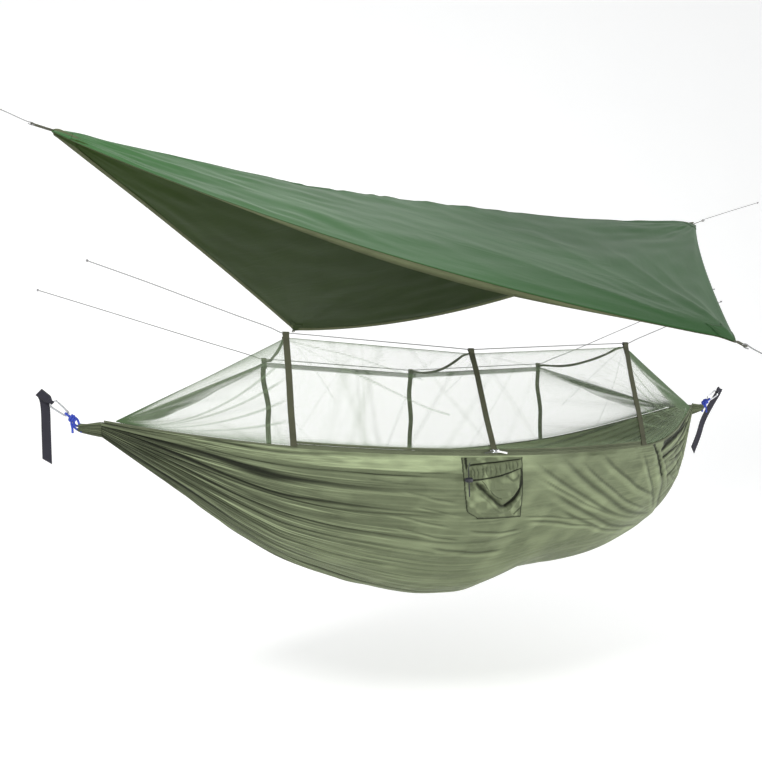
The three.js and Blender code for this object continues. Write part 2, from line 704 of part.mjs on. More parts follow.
function makeEnd(name, anchor, gather, way, strapReach, tailRoute) {
  const along = gather.clone().sub(anchor);
  const across = vec(0, 1, 0).cross(along).normalize().multiplyScalar(-way);
  const put = (geometry) => placed(geometry, anchor, along, across);
  add(`tree_strap_${name}`, joined(put(strapLeg(strapReach)), strapTail(anchor, tailRoute)), 'strap');

  const bowX = strapReach - bowInset;
  const onBow = (geometry) => put(geometry.translate(bowX, 0, 0));
  const { gate, spring } = carabinerGate();
  add(`carabiner_${name}`, onBow(carabinerFrame()), 'steel');
  add(`carabiner_gate_${name}`, onBow(gate), 'steel');
  add(`gate_spring_${name}`, onBow(spring), 'steel');
  add(`gate_pin_${name}`, onBow(pinAlong(gatePinDiameter / 2, wireDiameter + 2)), 'steel');

  const { parts, knotX } = ropeEyeAndKnot(bowX + reach);
  const knot = anchor.clone().addScaledVector(along.clone().normalize(), knotX);
  const tails = [0.4, 1.6].map((swing) => ropeTail(knot, way * swing));
  const turn = collar(gather.clone().add(vec(way * (grooveAt - gatherRadius), 0, 0)));
  const strands = ropeStrands(knot, gather, way);
  add(`end_rope_${name}`, joined(...parts.map(put), ...strands, ...tails, turn), 'rope');
}

// ---------------------------------------------------------------- ridge lines
// Chosen points, from the left end past the three legs to the right end.
const frontLine = [
  [150, -196, 331], [290, -221, 279], [420, -240, 229], [540, -255, 184], [620, -264, 155],
  [648, -266.6, 142], [670, -267, 141.6], [930, -267, 125.8], [1160, -267, 112], [1204, -267, 109.1],
  [1228, -267, 109.1], [1272, -267, 112], [1500, -267, 125.8], [1763, -267, 141.6], [1785, -266.6, 142.6],
  [1815, -264, 155], [1900, -255, 186], [2010, -240, 226], [2130, -221, 271], [2254, -200, 318],
];
const backLine = [
  [-48, 190, 336], [120, 210, 290], [300, 232, 240], [470, 252, 193], [615, 264, 153],
  [648, 266.6, 142], [670, 267, 141.6], [930, 267, 125.8], [1160, 267, 112], [1204, 267, 109.1],
  [1228, 267, 109.1], [1272, 267, 112], [1500, 267, 125.8], [1763, 267, 141.6], [1785, 266.6, 142.6],
  [1818, 264, 156], [1950, 255, 205], [2120, 241, 273], [2320, 224, 353], [2500, 209, 427], [2640, 196, 482],
];

function makeRidgeLines() {
  const lines = [['front', frontLine], ['back', backLine]];
  for (const [name, route] of lines) {
    const points = route.map((p) => vec(...p));
    add(`ridge_line_${name}`, cordAlong(points, ridgeLineDiameter, 1), 'cord');
    const ends = [['left', points[0], points[1]], ['right', points.at(-1), points.at(-2)]];
    for (const [end, tip, inner] of ends) {
      const out = tip.clone().sub(inner).normalize();
      add(`ridge_knot_${name}_${end}`, cordKnot(cordKnotRadius, tip, out), 'cord');
    }
  }
}

// A stopper knot of two wraps, just past the cord's end.
function cordKnot(radius, tip, out) {
  const profile = [[0, -1], [0.75, -0.8], [1, -0.4], [0.8, 0], [1, 0.4], [0.75, 0.8], [0, 1]];
  const bead = new THREE.LatheGeometry(profile.map(([r, h]) => new THREE.Vector2(r * radius, h * radius)), 8);
  const centre = tip.clone().addScaledVector(out, radius + clearance);
  return placed(merged(bead.rotateZ(-Math.PI / 2)), centre, out, vec(0, 0, 1));
}

// ---------------------------------------------------------------- net, legs and cross tapes
const legTop = (side, i) => vec(legX[i], side * ridgeHalfWidth, ridgeZ(legX[i]));
const zipTop = hemHeight - tapeSeam + 2 * tapeHeight + 2 * coilHeight + chainGap;
const wallBase = (side) => (side < 0 ? zipTop : hemHeight + clearance) + clearance;
const wallTopY = ridgeHalfWidth - legThickness / 2 - netThickness / 2 - 2 * clearance;

// The net's wall on one side: u from the left pair of legs to the right pair, v from the rim to the ridge.
function wallPoint(side, u, v) {
  const foot = rimArc[side].at(u).add(vec(0, 0, wallBase(side)));
  const x = lerp(legX[0], legX[2], u);
  const top = vec(x, side * wallTopY, ridgeZ(x) - roofDrop);
  return foot.lerp(top, v);
}

const roofZ = (x, share) => ridgeZ(x) - roofDrop + netThickness / 2 + clearance - roofSag * (1 - share * share);

function netRoof() {
  const half = ridgeHalfWidth - legThickness / 2 - clearance;
  const point = (u, v) => {
    const [x, share] = [lerp(legX[0], legX[2], u), lerp(-1, 1, v)];
    return vec(x, share * half, roofZ(x, share));
  };
  return sheet(point, 12, 8, netThickness);
}

// The end of the net, from the last pair of legs to the gathered end: up one side, across and down the other.
function netSlope(end) {
  const i = end < 0 ? 0 : 2;
  const edgeGap = netThickness + clearance;
  const farShare = end < 0 ? slopeStart : 1 - slopeStart;
  const nearShare = (end < 0 ? arcStart : arcEnd) + (end * edgeGap) / (bedEnd - bedStart);
  const baseLift = (side, u) => {
    const zipShare = clamp((u - slopeZipFrom) / (1 - slopeZipFrom), 0, 1);
    return lerp(wallBase(1), wallBase(side), zipShare) + slopeLift;
  };
  const base = (side, u) => rimAt(side, lerp(farShare, nearShare, u)).add(vec(0, 0, baseLift(side, u)));
  const top = (side, u) => {
    const tip = base(side, 0).add(vec(0, 0, slopeTipHeight));
    return tip.lerp(vec(legX[i] + end * edgeGap, side * wallTopY, ridgeZ(legX[i]) - roofDrop), u);
  };
  const acrossSteps = 8;
  const fold = 1 / (acrossSteps + 2);
  const point = (u, v) => {
    if (v <= fold) return base(-1, u).lerp(top(-1, u), v / fold);
    if (v >= 1 - fold) return base(1, u).lerp(top(1, u), (1 - v) / fold);
    const share = (v - fold) / (1 - 2 * fold);
    return top(-1, u).lerp(top(1, u), share).add(vec(0, 0, -roofSag * u * 4 * share * (1 - share)));
  };
  return sheet(point, 8, acrossSteps + 2, netThickness);
}

// A webbing leg: an eye over the ridge line and a strip down to the rim, outside the net.
function netLeg(side, i) {
  const top = legTop(side, i);
  const foot = rimFoot(side, i).add(vec(0, side * legStandOff, wallBase(side)));
  const outer = legEyeRadius + legThickness;
  const eyeCentre = top.clone().add(vec(0, 0, -(legEyeRadius - ridgeLineDiameter / 2 - 1)));
  const down = foot.clone().sub(eyeCentre);
  const length = down.length();
  const strip = new THREE.Shape();
  strip.absarc(0, 0, outer, Math.PI / 2, (3 * Math.PI) / 2 + 1.1, false);
  strip.lineTo(outer * 1.8, -legThickness / 2);
  strip.lineTo(length, -legThickness / 2);
  strip.lineTo(length, legThickness / 2);
  strip.lineTo(outer * 1.8, legThickness / 2);
  strip.absarc(0, 0, outer, Math.PI / 2 - 1.1, Math.PI / 2, false);
  const eye = new THREE.Path().absarc(0, 0, legEyeRadius, 0, 2 * Math.PI, true);
  strip.holes.push(eye);
  const geometry = extruded(strip, legWidth);
  return placed(geometry, eyeCentre, down, vec(0, -1, 0));
}

// A slack tape over the roof, from leg to leg.
function crossTape(i) {
  const half = legWidth / 2;
  const reach = ridgeHalfWidth - legThickness / 2 - clearance;
  const above = netThickness / 2 + 2 * clearance + legThickness / 2;
  const point = (u, v) => {
    const share = lerp(-1, 1, u);
    const x = legX[i] + lerp(-half, half, v);
    return vec(x, share * reach, roofZ(x, share) + above);
  };
  return sheet(point, 8, 1, legThickness);
}

function makeNet() {
  add('net_front_wall', sheet((u, v) => wallPoint(-1, u, v), 14, 1, netThickness), 'net');
  add('net_back_wall', sheet((u, v) => wallPoint(1, u, v), 14, 1, netThickness), 'net');
  add('net_roof', netRoof(), 'net');
  add('net_left_slope', netSlope(-1), 'net');
  add('net_right_slope', netSlope(1), 'net');
  const sides = [['front', -1], ['back', 1]];
  const places = ['left', 'middle', 'right'];
  for (const [i, place] of places.entries()) {
    for (const [name, side] of sides) add(`net_leg_${name}_${place}`, netLeg(side, i), 'webbing');
    add(`cross_tape_${place}`, crossTape(i), 'webbing');
  }
}

// ---------------------------------------------------------------- zip
const chainMiddle = hemHeight - tapeSeam + tapeHeight + coilHeight + chainGap / 2; // above the rim
const zipStart = lerp(arcStart, arcEnd, 0.004);
const zipEnd = lerp(arcStart, arcEnd, 0.996);
const zipArc = rimArc[-1];

// One half of the zip: a woven tape with the coil along its inner edge.
function zipHalf(way) {
  const coilEnd = chainGap / 2 + coilHeight;
  const strip = (near, far, thickness) =>
    rimStrip(-1, zipStart, zipEnd, chainMiddle + way * near, chainMiddle + way * far, thickness, 14);
  return [strip(chainGap / 2, coilEnd, coilThickness), strip(coilEnd - 0.4, coilEnd + tapeHeight, tapeThickness)];
}

// Drawn with X along the zip away from the closed side, Z out of it, and the wedge between the halves at the nose.
const plateInside = coilThickness / 2 + sliderPlay;
const plateOutside = plateInside + sliderWall;
const barDepth = plateOutside + bridgeHeight - bridgeBar / 2; // of the bridge's bar, from the chain's middle

function sliderBody() {
  const [half, nose] = [sliderHeight / 2, sliderLength / 2];
  const plate = new THREE.Shape();
  plate.moveTo(-nose, half * 0.62);
  plate.quadraticCurveTo(-nose * 0.7, half, 0, half);
  plate.lineTo(nose, half * 0.72);
  plate.lineTo(nose, -half * 0.72);
  plate.lineTo(0, -half);
  plate.quadraticCurveTo(-nose * 0.7, -half, -nose, -half * 0.62);
  const plateMiddle = plateInside + sliderWall / 2;
  const [front, back] = [plateMiddle, -plateMiddle].map((z) => extruded(plate, sliderWall).translate(0, 0, z));
  const wedge = new THREE.BoxGeometry(wedgeLength, wedgeThickness, 2 * plateMiddle);
  wedge.translate(-nose + wedgeLength / 2, 0, 0);
  const postHeight = bridgeHeight + sliderWall / 2;
  const posts = [-1, 1].map((side) =>
    new THREE.BoxGeometry(bridgeBar, bridgeBar, postHeight)
      .translate(0, side * (half - bridgeBar / 2), plateOutside + bridgeHeight - postHeight / 2),
  );
  const bar = new THREE.BoxGeometry(bridgeBar, sliderHeight, bridgeBar).translate(0, 0, barDepth);
  return joined(front, back, wedge, ...posts, bar);
}

// A flat tab with an eye round the bridge's bar. Drawn with X away from the bar and Y along it.
function pullTab() {
  const half = pullThickness / 2;
  const side = new THREE.Shape();
  side.absarc(0, 0, pullEyeRadius + pullThickness * 0.7, 0.6, 2 * Math.PI - 0.6, false);
  side.lineTo(pullLength, -half);
  side.lineTo(pullLength, half);
  side.holes.push(new THREE.Path().absarc(0, 0, pullEyeRadius, 0, 2 * Math.PI, true));
  const blank = extruded(side, pullWidth).rotateX(Math.PI / 2);
  const cordHole = rod(pullWidth * 0.26, 4 * pullThickness).rotateX(Math.PI / 2);
  return cutBy(blank, cordHole.translate(pullLength - pullWidth * 0.7, 0, 0));
}

function makeZip() {
  add('zip_upper_tape', joined(...zipHalf(1)), 'hem');
  const arcLength = zipArc.radius * zipArc.angle;
  const sliders = [['left', -1], ['right', 1]];
  for (const [name, way] of sliders) {
    const share = meetingShare + (way * (sliderLength + sliderSpacing)) / 2 / arcLength;
    const centre = zipArc.at(share).add(vec(0, 0, chainMiddle));
    const tailward = zipArc.at(share + way * 0.001).sub(zipArc.at(share - way * 0.001)).normalize();
    const out = vec(0, 0, way).cross(tailward).negate().normalize();
    const up = out.clone().cross(tailward);
    add(`zip_slider_${name}`, placed(sliderBody(), centre, tailward, up), 'steel');
    const bar = centre.clone().addScaledVector(out, barDepth);
    const droop = tailward.clone().multiplyScalar(Math.cos(pullDroop)).add(vec(0, 0, -Math.sin(pullDroop)));
    add(`zip_pull_${name}`, placed(pullTab(), bar, droop, out.clone().cross(droop)), 'steel');
  }
}

// ---------------------------------------------------------------- pocket
// A point in front of the bed: at x, drop below the rim and standing out from the cloth.
function offFront(x, drop, out) {
  const s = (x - bedStart) / (bedEnd - bedStart);
  const rim = rimAt(-1, s);
  const depth = rim.z - (gatherLineZ(x) - keelDrop(x));
  const turnAt = (d) => (-2 / Math.PI) * Math.acos((Math.max(d, 0) / depth) ** (1 / sectionPower));
  const here = bedPoint(s, turnAt(drop));
  const along = bedPoint(s + 1e-3, turnAt(drop)).sub(here);
  const down = bedPoint(s, turnAt(drop + 1)).sub(here);
  return here.addScaledVector(down.cross(along).normalize(), out);
}

const pocketStart = pocketX - pocketWidth / 2;
const channelStart = pocketStart + pocketMargin;
const pocketEnd = pocketX + pocketWidth / 2;

// The pouch is sewn to the bed at its sides and foot. Its top edge stands open, with a ruffled channel along it.
function pocketPouch() {
  const columns = 26;
  const columnX = alongStops([
    [0, pocketStart], [1 / columns, channelStart - channelEndWall], [2 / columns, channelStart], [1, pocketEnd],
  ]);
  const rows = 7;
  const rowDrop = alongStops([[0, 0], [3 / rows, channelHeight], [1, pocketHeight]]);
  const point = (u, v) => {
    const [x, drop] = [columnX(u), rowDrop(v)];
    const across = clamp((2 * (x - channelStart)) / (pocketEnd - channelStart) - 1, -1, 1);
    const fullness = 1 - Math.abs(across) ** 3;
    const tube = x < channelStart ? 0 : Math.sin(Math.PI * clamp(drop / channelHeight, 0, 1));
    const ruffle = 1 + channelRuffleShare * Math.cos(across * channelRuffles * Math.PI);
    const below = clamp((drop - channelHeight) / (pocketHeight - channelHeight), 0, 1);
    const stand = pocketMouth * (1 - below ** 2) + pocketBulge * Math.sin(Math.PI * below);
    return offFront(x, pocketTopDrop + drop, clothGap + fullness * stand + channelDepth * tube * ruffle);
  };
  return sheet(point, columns, rows, clothThickness);
}

// The cord lock: a barrel across the two strands, and a button that a spring pushes out to pinch them.
// Drawn with X out of the barrel's open end, Y between the strands and Z along them.
const lockRadius = lockDiameter / 2;
const plungerRadius = lockRadius - lockWall - clearance;
const springRoom = plungerTravel + springTurns * springWire;
const plungerBack = -lockLength / 2 + lockWall + springRoom;
const slotWidth = drawcordSpacing + drawcordDiameter + 2 * cordPlay;
const slotLength = drawcordDiameter + 2 * cordPlay;
const cordAt = plungerBack + plungerFloor + slotLength / 2; // the strands, from the barrel's middle

function lockBarrel() {
  const cavity = rod(lockRadius - lockWall, lockLength, 20).translate(0, lockWall, 0).rotateZ(-Math.PI / 2);
  const slot = new THREE.BoxGeometry(slotLength, slotWidth, 2 * lockDiameter).translate(cordAt, 0, 0);
  return cutBy(rod(lockRadius, lockLength, 20).rotateZ(-Math.PI / 2), cavity, slot);
}

function lockPlunger() {
  const length = lockLength / 2 + plungerReach - plungerBack;
  const profile = [
    [0, 0], [plungerRadius, 0], [plungerRadius, length - 1.5], [plungerRadius - 1.2, length], [0, length],
  ];
  const stem = new THREE.LatheGeometry(profile.map(([r, h]) => new THREE.Vector2(r, h)), 20);
  stem.rotateZ(-Math.PI / 2).translate(plungerBack, 0, 0);
  const slot = new THREE.BoxGeometry(slotLength + plungerTravel, slotWidth, 2 * lockDiameter);
  slot.translate(cordAt + plungerTravel / 2, 0, 0);
  return cutBy(stem, slot);
}

function makePocket() {
  add('pocket_pouch', pocketPouch(), 'bed');
  const points = drawcordRoute.map((p) => vec(...p));
  add('pocket_drawcord', cordAlong(points, drawcordDiameter, 1), 'rope');
  const middle = vec(drawcordX + cordAt, drawcordY, lockZ);
  const put = (geometry) => placed(geometry, middle, vec(-1, 0, 0), vec(0, -1, 0));
  add('cord_lock_barrel', put(lockBarrel()), 'plastic');
  add('cord_lock_plunger', put(lockPlunger()), 'plastic');
  const springEnd = -lockLength / 2 + lockWall + clearance;
  const spring = springAlong(plungerRadius - clearance, plungerBack - springEnd - clearance, springWire, springTurns);
  const springMiddle = (springEnd + plungerBack - clearance) / 2;
  add('cord_lock_spring', put(spring.translate(springMiddle, 0, 0)), 'steel');
}

// ---------------------------------------------------------------- rain sheet
const [sheetL, sheetR, sheetN, sheetF] = [sheetLeft, sheetRight, sheetNear, sheetFar].map((p) => vec(...p));
const hang = (t) => 4 * t * (1 - t);

function foldPoint(u) {
  return sheetL.clone().lerp(sheetR, u).add(vec(0, 0, -sheetRidgeSag * hang(u)));
}

// The outer edge of one half, from the left corner past its own corner to the right one.
// The longer of its two sides sags, and the shorter one is drawn in.
function edgePoint(corner, turn, sag, share) {
  const onLeft = share < turn;
  const t = onLeft ? share / turn : (share - turn) / (1 - turn);
  const base = onLeft ? sheetL.clone().lerp(corner, t) : corner.clone().lerp(sheetR, t);
  if (onLeft === turn > 0.5) return base.add(vec(0, 0, -sag * hang(t)));
  const inward = foldPoint(turn).sub(corner).normalize();
  return base.addScaledVector(inward, sheetSideBow * hang(t));
}

const cornerShare = (corner) =>
  corner.clone().sub(sheetL).dot(sheetR.clone().sub(sheetL)) / sheetR.distanceToSquared(sheetL);
const [nearShare, farShare] = [cornerShare(sheetN), cornerShare(sheetF)];
const sheetColumns = 16;
const sheetRows = 8;
const columnStops = [
  [0, sheetCornerTrim],
  [Math.round(sheetColumns * farShare) / sheetColumns, farShare],
  [Math.round(sheetColumns * nearShare) / sheetColumns, nearShare],
  [1, 1 - sheetCornerTrim],
];
const columnShare = alongStops(columnStops);
const shareColumn = alongStops(columnStops.map(([u, share]) => [share, u]));

// The cloth at a share of the fold's length, with side from -1 at the near edge to 1 at the far edge.
function clothPoint(share, side) {
  const edge = side < 0
    ? edgePoint(sheetN, nearShare, sheetNearSag, share)
    : edgePoint(sheetF, farShare, sheetFarSag, share);
  return foldPoint(share).lerp(edge, Math.abs(side));
}

// The same cloth as its facets lie, for what is sewn flat on it. Each facet pair is split from (i, j) outwards.
function facetPoint(share, side) {
  const [u, v] = [shareColumn(share) * sheetColumns, ((side + 1) / 2) * sheetRows];
  const [i, j] = [Math.min(Math.floor(u), sheetColumns - 1), Math.min(Math.floor(v), sheetRows - 1)];
  const at = (a, b) => clothPoint(columnShare(a / sheetColumns), lerp(-1, 1, b / sheetRows));
  const [alone, both] = [Math.abs(u - i - v + j), Math.min(u - i, v - j)];
  const corner = u - i > v - j ? at(i + 1, j) : at(i, j + 1);
  const near = at(i, j).multiplyScalar(1 - alone - both);
  return near.addScaledVector(corner, alone).addScaledVector(at(i + 1, j + 1), both);
}

// A corner's webbing: a patch that lies on the cloth, and a strap with an eye beyond the corner.
function cornerPiece(region, columns, rows, tip, outward, across, strapLength) {
  const patch = sheet(region, columns, rows, patchThickness, patchHeight);
  const half = loopWidth / 2;
  const strap = new THREE.Shape();
  strap.moveTo(-loopSeat, -half);
  strap.lineTo(strapLength - half, -half);
  strap.absarc(strapLength - half, 0, half, -Math.PI / 2, Math.PI / 2, false);
  strap.lineTo(-loopSeat, half);
  strap.holes.push(new THREE.Path().absarc(strapLength - half, 0, loopHole / 2, 0, 2 * Math.PI, true));
  const start = tip.clone().add(vec(0, 0, loopRise));
  return joined(patch, placed(extruded(strap, patchThickness), start, outward, across));
}

function makeRainSheet() {
  const point = (u, v) => clothPoint(columnShare(u), lerp(-1, 1, v));
  add('rain_sheet', sheet(point, sheetColumns, sheetRows, sheetThickness), 'rainSheet');

  const foldSpan = sheetR.distanceTo(sheetL);
  const [trim, reach] = [sheetCornerTrim, sheetCornerTrim + patchSize / foldSpan];
  const alongFold = (a, b) => (u, v) => facetPoint(lerp(a, b, u), lerp(-1, 1, v));
  const atCorner = (share, side) => (u, v) =>
    facetPoint(share + lerp(-0.5, 0.5, u) * (patchSize / foldSpan), side < 0 ? lerp(-1, -0.95, v) : lerp(0.95, 1, v));
  const corners = [
    ['left', alongFold(trim, reach), 2, 4, foldPoint(trim), leftPull, sideLoopLength],
    ['right', alongFold(1 - reach, 1 - trim), 2, 4, foldPoint(1 - trim), rightPull, sideLoopLength],
    ['near', atCorner(nearShare, -1), 4, 2, sheetN, nearPull, cornerLoopLength],
    ['far', atCorner(farShare, 1), 4, 2, sheetF, farPull, cornerLoopLength],
  ];
  for (const [name, region, columns, rows, tip, pull, length] of corners) {
    const outward = vec(...pull);
    const across = outward.clone().cross(vec(0, 0, 1)).normalize();
    const piece = cornerPiece(region, columns, rows, tip, outward, across, length);
    add(`rain_sheet_corner_${name}`, piece, 'webbing');
  }

  const guylines = [['left', leftGuyline], ['right', rightGuyline], ['near', nearGuyline]];
  for (const [name, route] of guylines) {
    const points = route.map((p) => vec(...p));
    add(`guyline_${name}`, cordAlong(points, guyDiameter, 2), 'cord');
    const out = points.at(-1).clone().sub(points.at(-2)).normalize();
    add(`guyline_knot_${name}`, cordKnot(cordKnotRadius, points.at(-1), out), 'cord');
  }
}

makeEnd('left', leftAnchor, leftGather, 1, strapReachLeft, leftTail);
makeEnd('right', rightAnchor, rightGather, -1, strapReachRight, rightTail);
makeGathers();
makeBed();
makeRidgeLines();
makeNet();
makeZip();
makePocket();
makeRainSheet();

export default hammock;
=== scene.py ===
"""Camping hammock with an insect net and a rain sheet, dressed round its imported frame.

Everything is in metres, +Z up. +X runs from the left anchor to the right one, and -Y is the front.
"""
import contextlib
import math

import bpy
import numpy as np
from mathutils import Matrix, Vector


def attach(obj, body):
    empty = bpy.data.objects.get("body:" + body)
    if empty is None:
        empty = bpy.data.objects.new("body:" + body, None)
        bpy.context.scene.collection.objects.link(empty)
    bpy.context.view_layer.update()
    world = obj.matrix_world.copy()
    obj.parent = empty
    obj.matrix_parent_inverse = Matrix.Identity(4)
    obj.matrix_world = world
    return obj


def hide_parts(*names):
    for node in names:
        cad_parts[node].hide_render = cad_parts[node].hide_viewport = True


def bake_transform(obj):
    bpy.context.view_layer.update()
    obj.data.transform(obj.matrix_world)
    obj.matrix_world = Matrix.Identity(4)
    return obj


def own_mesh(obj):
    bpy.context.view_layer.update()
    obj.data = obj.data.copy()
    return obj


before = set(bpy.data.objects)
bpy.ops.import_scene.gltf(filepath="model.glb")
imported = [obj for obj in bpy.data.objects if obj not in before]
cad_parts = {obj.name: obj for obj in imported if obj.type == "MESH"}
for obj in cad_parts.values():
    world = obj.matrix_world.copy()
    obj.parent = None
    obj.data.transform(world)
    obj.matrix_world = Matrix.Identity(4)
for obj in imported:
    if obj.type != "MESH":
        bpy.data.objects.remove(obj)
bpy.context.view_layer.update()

bl_info = {
    "name": "Camping Hammock",
    "version": (1, 0, 0),
    "blender": (4, 5, 0),
    "location": "3D View > Sidebar > Hammock",
    "description": "Models a camping hammock with its net, pocket, suspension and rain sheet",
    "category": "Add Mesh",
}

# ---------------------------------------------------------------- sizes shared by several pieces
ANCHOR_SPAN = 2.430
ANCHOR_RISE = 0.017
LEFT_GATHER = Vector((0.119, 0, -0.103))
RIGHT_GATHER = Vector((ANCHOR_SPAN - 0.111, 0, ANCHOR_RISE - 0.072))
GATHER_RADIUS = 0.015
GATHER_MOUTH = 0.029
GATHER_LENGTH = 0.062
CLEARANCE = 0.0003
CLOTH_THICKNESS = 0.0006
SHEET_THICKNESS = 0.0007
LAYER_GAP = 0.0001
THREAD_LIFT = 0.0002
SEAM_GAP = 1e-6

KEEL_SAG = 0.572
RIM_HALF_WIDTHS = (0.271, 0.350, 0.300)
RIM_HEIGHTS = (-0.173, -0.208, -0.196)
BACK_RIM_LIFTS = (0.003, 0.004, 0.027)
SECTION_POWER = 0.9
SIDE_PANEL_SHARE = 0.065
HEM_HEIGHT = 0.006
HEM_HALF_WIDTH = 0.0017

FIRST_LEG_X = 0.659
LEG_SPACING = 0.557
LEG_LEAN = 0.018
LEG_WIDTH = 0.018
LEG_THICKNESS = 0.0014
LEG_X = tuple(FIRST_LEG_X + i * LEG_SPACING for i in range(3))
RIDGE_HALF_WIDTH = 0.267
RIDGE_HEIGHT = 0.142
RIDGE_DIP = 0.033
ROOF_DROP = 0.013
ROOF_SAG = 0.030

TAPE_HEIGHT = 0.004
TAPE_SEAM = 0.001
TAPE_HALF_THICKNESS = 0.00035
COIL_HEIGHT = 0.0026
CHAIN_GAP = 0.0012
CHAIN_MIDDLE = HEM_HEIGHT - TAPE_SEAM + TAPE_HEIGHT + COIL_HEIGHT + CHAIN_GAP / 2
ZIP_TOP = HEM_HEIGHT - TAPE_SEAM + 2 * TAPE_HEIGHT + 2 * COIL_HEIGHT + CHAIN_GAP

SHEET_LEFT = Vector((0, 0, 0.775))
SHEET_RIGHT = Vector((2.369, 0, 0.688))
SHEET_NEAR = Vector((1.561, -0.886, 0.040))
SHEET_FAR = Vector((0.903, 1.104, 0.405))
SHEET_RIDGE_SAG = 0.062
SHEET_NEAR_SAG = 0.052
SHEET_FAR_SAG = 0.110
SHEET_SIDE_BOW = 0.030
SHEET_TRIM = 0.006

RIDGE_LINE_DIAMETER = 0.003
GUY_DIAMETER = 0.003
DRAWCORD_DIAMETER = 0.002

# ---------------------------------------------------------------- routes of the cords, as in the part
RIDGE_OVER_LEGS = [
    (0.648, 0.2666, 0.142), (0.670, 0.267, 0.1416), (0.930, 0.267, 0.1258), (1.160, 0.267, 0.112),
    (1.204, 0.267, 0.1091), (1.228, 0.267, 0.1091), (1.272, 0.267, 0.112), (1.500, 0.267, 0.1258),
    (1.763, 0.267, 0.1416), (1.785, 0.2666, 0.1426),
]
FRONT_RIDGE_LINE = [
    (0.150, -0.196, 0.331), (0.290, -0.221, 0.279), (0.420, -0.240, 0.229), (0.540, -0.255, 0.184),
    (0.620, -0.264, 0.155), *[(x, -y, z) for x, y, z in RIDGE_OVER_LEGS], (1.815, -0.264, 0.155),
    (1.900, -0.255, 0.186), (2.010, -0.240, 0.226), (2.130, -0.221, 0.271), (2.254, -0.200, 0.318),
]
BACK_RIDGE_LINE = [
    (-0.048, 0.190, 0.336), (0.120, 0.210, 0.290), (0.300, 0.232, 0.240), (0.470, 0.252, 0.193),
    (0.615, 0.264, 0.153), *RIDGE_OVER_LEGS, (1.818, 0.264, 0.156), (1.950, 0.255, 0.205),
    (2.120, 0.241, 0.273), (2.320, 0.224, 0.353), (2.500, 0.209, 0.427), (2.640, 0.196, 0.482),
]
LEFT_GUYLINE = [
    (-0.0502, 0, 0.7883), (-0.0427, 0, 0.7854), (-0.0375, 0, 0.7857), (-0.0363, 0, 0.7905),
    (-0.0409, 0, 0.7931), (-0.049, 0, 0.7936), (-0.062, 0, 0.7975), (-0.100, 0, 0.8126), (-0.145, 0, 0.829),
]
RIGHT_GUYLINE = [
    (2.4172, 0, 0.7102), (2.4101, 0, 0.7064), (2.4049, 0, 0.7061), (2.4031, 0, 0.7107),
    (2.4073, 0, 0.7139), (2.4153, 0, 0.7154), (2.430, 0, 0.7202), (2.570, 0, 0.768), (2.705, 0, 0.813),
]
NEAR_GUYLINE = [
    (1.5628, -0.9139, 0.0209), (1.5624, -0.9066, 0.0244), (1.5621, -0.9033, 0.0284),
    (1.5621, -0.9061, 0.0326), (1.5624, -0.9111, 0.031), (1.5628, -0.917, 0.0255),
    (1.5635, -0.929, 0.0165), (1.565, -0.950, 0.0025), (1.567, -0.972, -0.0125),
]
POCKET_DRAWCORD = [
    (1.1588, -0.3534, -0.233), (1.1568, -0.3546, -0.2334), (1.1544, -0.3562, -0.2354),
    (1.152, -0.3572, -0.2396), (1.151, -0.3574, -0.247), (1.151, -0.3574, -0.262),
    (1.151, -0.3574, -0.285), (1.151, -0.3572, -0.306), (1.151, -0.3568, -0.313),
    (1.151, -0.3573, -0.3172), (1.151, -0.359, -0.319), (1.151, -0.3607, -0.3172),
    (1.151, -0.3612, -0.313), (1.151, -0.3608, -0.306), (1.151, -0.3606, -0.285),
    (1.151, -0.3606, -0.262), (1.151, -0.3606, -0.247), (1.1516, -0.3602, -0.237),
    (1.1536, -0.359, -0.2296), (1.1564, -0.357, -0.2264), (1.1588, -0.3556, -0.226),
]


# ---------------------------------------------------------------- settings a user would change
def colour(name, default, description):
    return bpy.props.FloatVectorProperty(
        name=name, description=description, default=default, subtype="COLOR", size=3, min=0, max=1
    )


def length(name, default, description):
    return bpy.props.FloatProperty(
        name=name, description=description, default=default, unit="LENGTH", subtype="DISTANCE"
    )


class StageSettings(bpy.types.PropertyGroup):
    """Floor and backdrop"""

    floor_height: length("Floor height", -0.98, "Height of the floor in the part's frame")
    backdrop_distance: length("Backdrop distance", 5.5, "From the origin to the upright part of the backdrop")
    floor_colour: colour("Floor", (0.93, 0.93, 0.925), "Colour of the floor and backdrop")


class ClothSettings(bpy.types.PropertyGroup):
    """Bed cloth, hems, net and rain sheet"""

    bed_colour: colour("Bed cloth", (0.118, 0.139, 0.080), "Colour of the bed cloth")
    net_colour: colour("Net", (0.35, 0.44, 0.28), "Colour of the net's threads")
    sheet_top_colour: colour("Rain sheet, top", (0.044, 0.122, 0.040), "Colour of the top of the rain sheet")
    # The underside is painted shade: the same sheet material in a darker colour, on the faces that look down.
    sheet_underside_shade_colour: colour("Rain sheet, underside", (0.023, 0.044, 0.005), "Colour of its underside")
    sheet_hem_colour: colour("Rain sheet, hems", (0.086, 0.098, 0.050), "Colour of its hems and patches")
    hem_colour: colour("Hems", (0.098, 0.112, 0.068), "Colour of hems and tapes")
    net_density: bpy.props.FloatProperty(
        name="Net density", description="How much of the flat net its threads cover", default=0.140,
        subtype="FACTOR", min=0, max=1,
    )
    pleats: bpy.props.IntProperty(
        name="Pleats", description="Pleats across half of the bed at a gathered end", default=30, min=1
    )


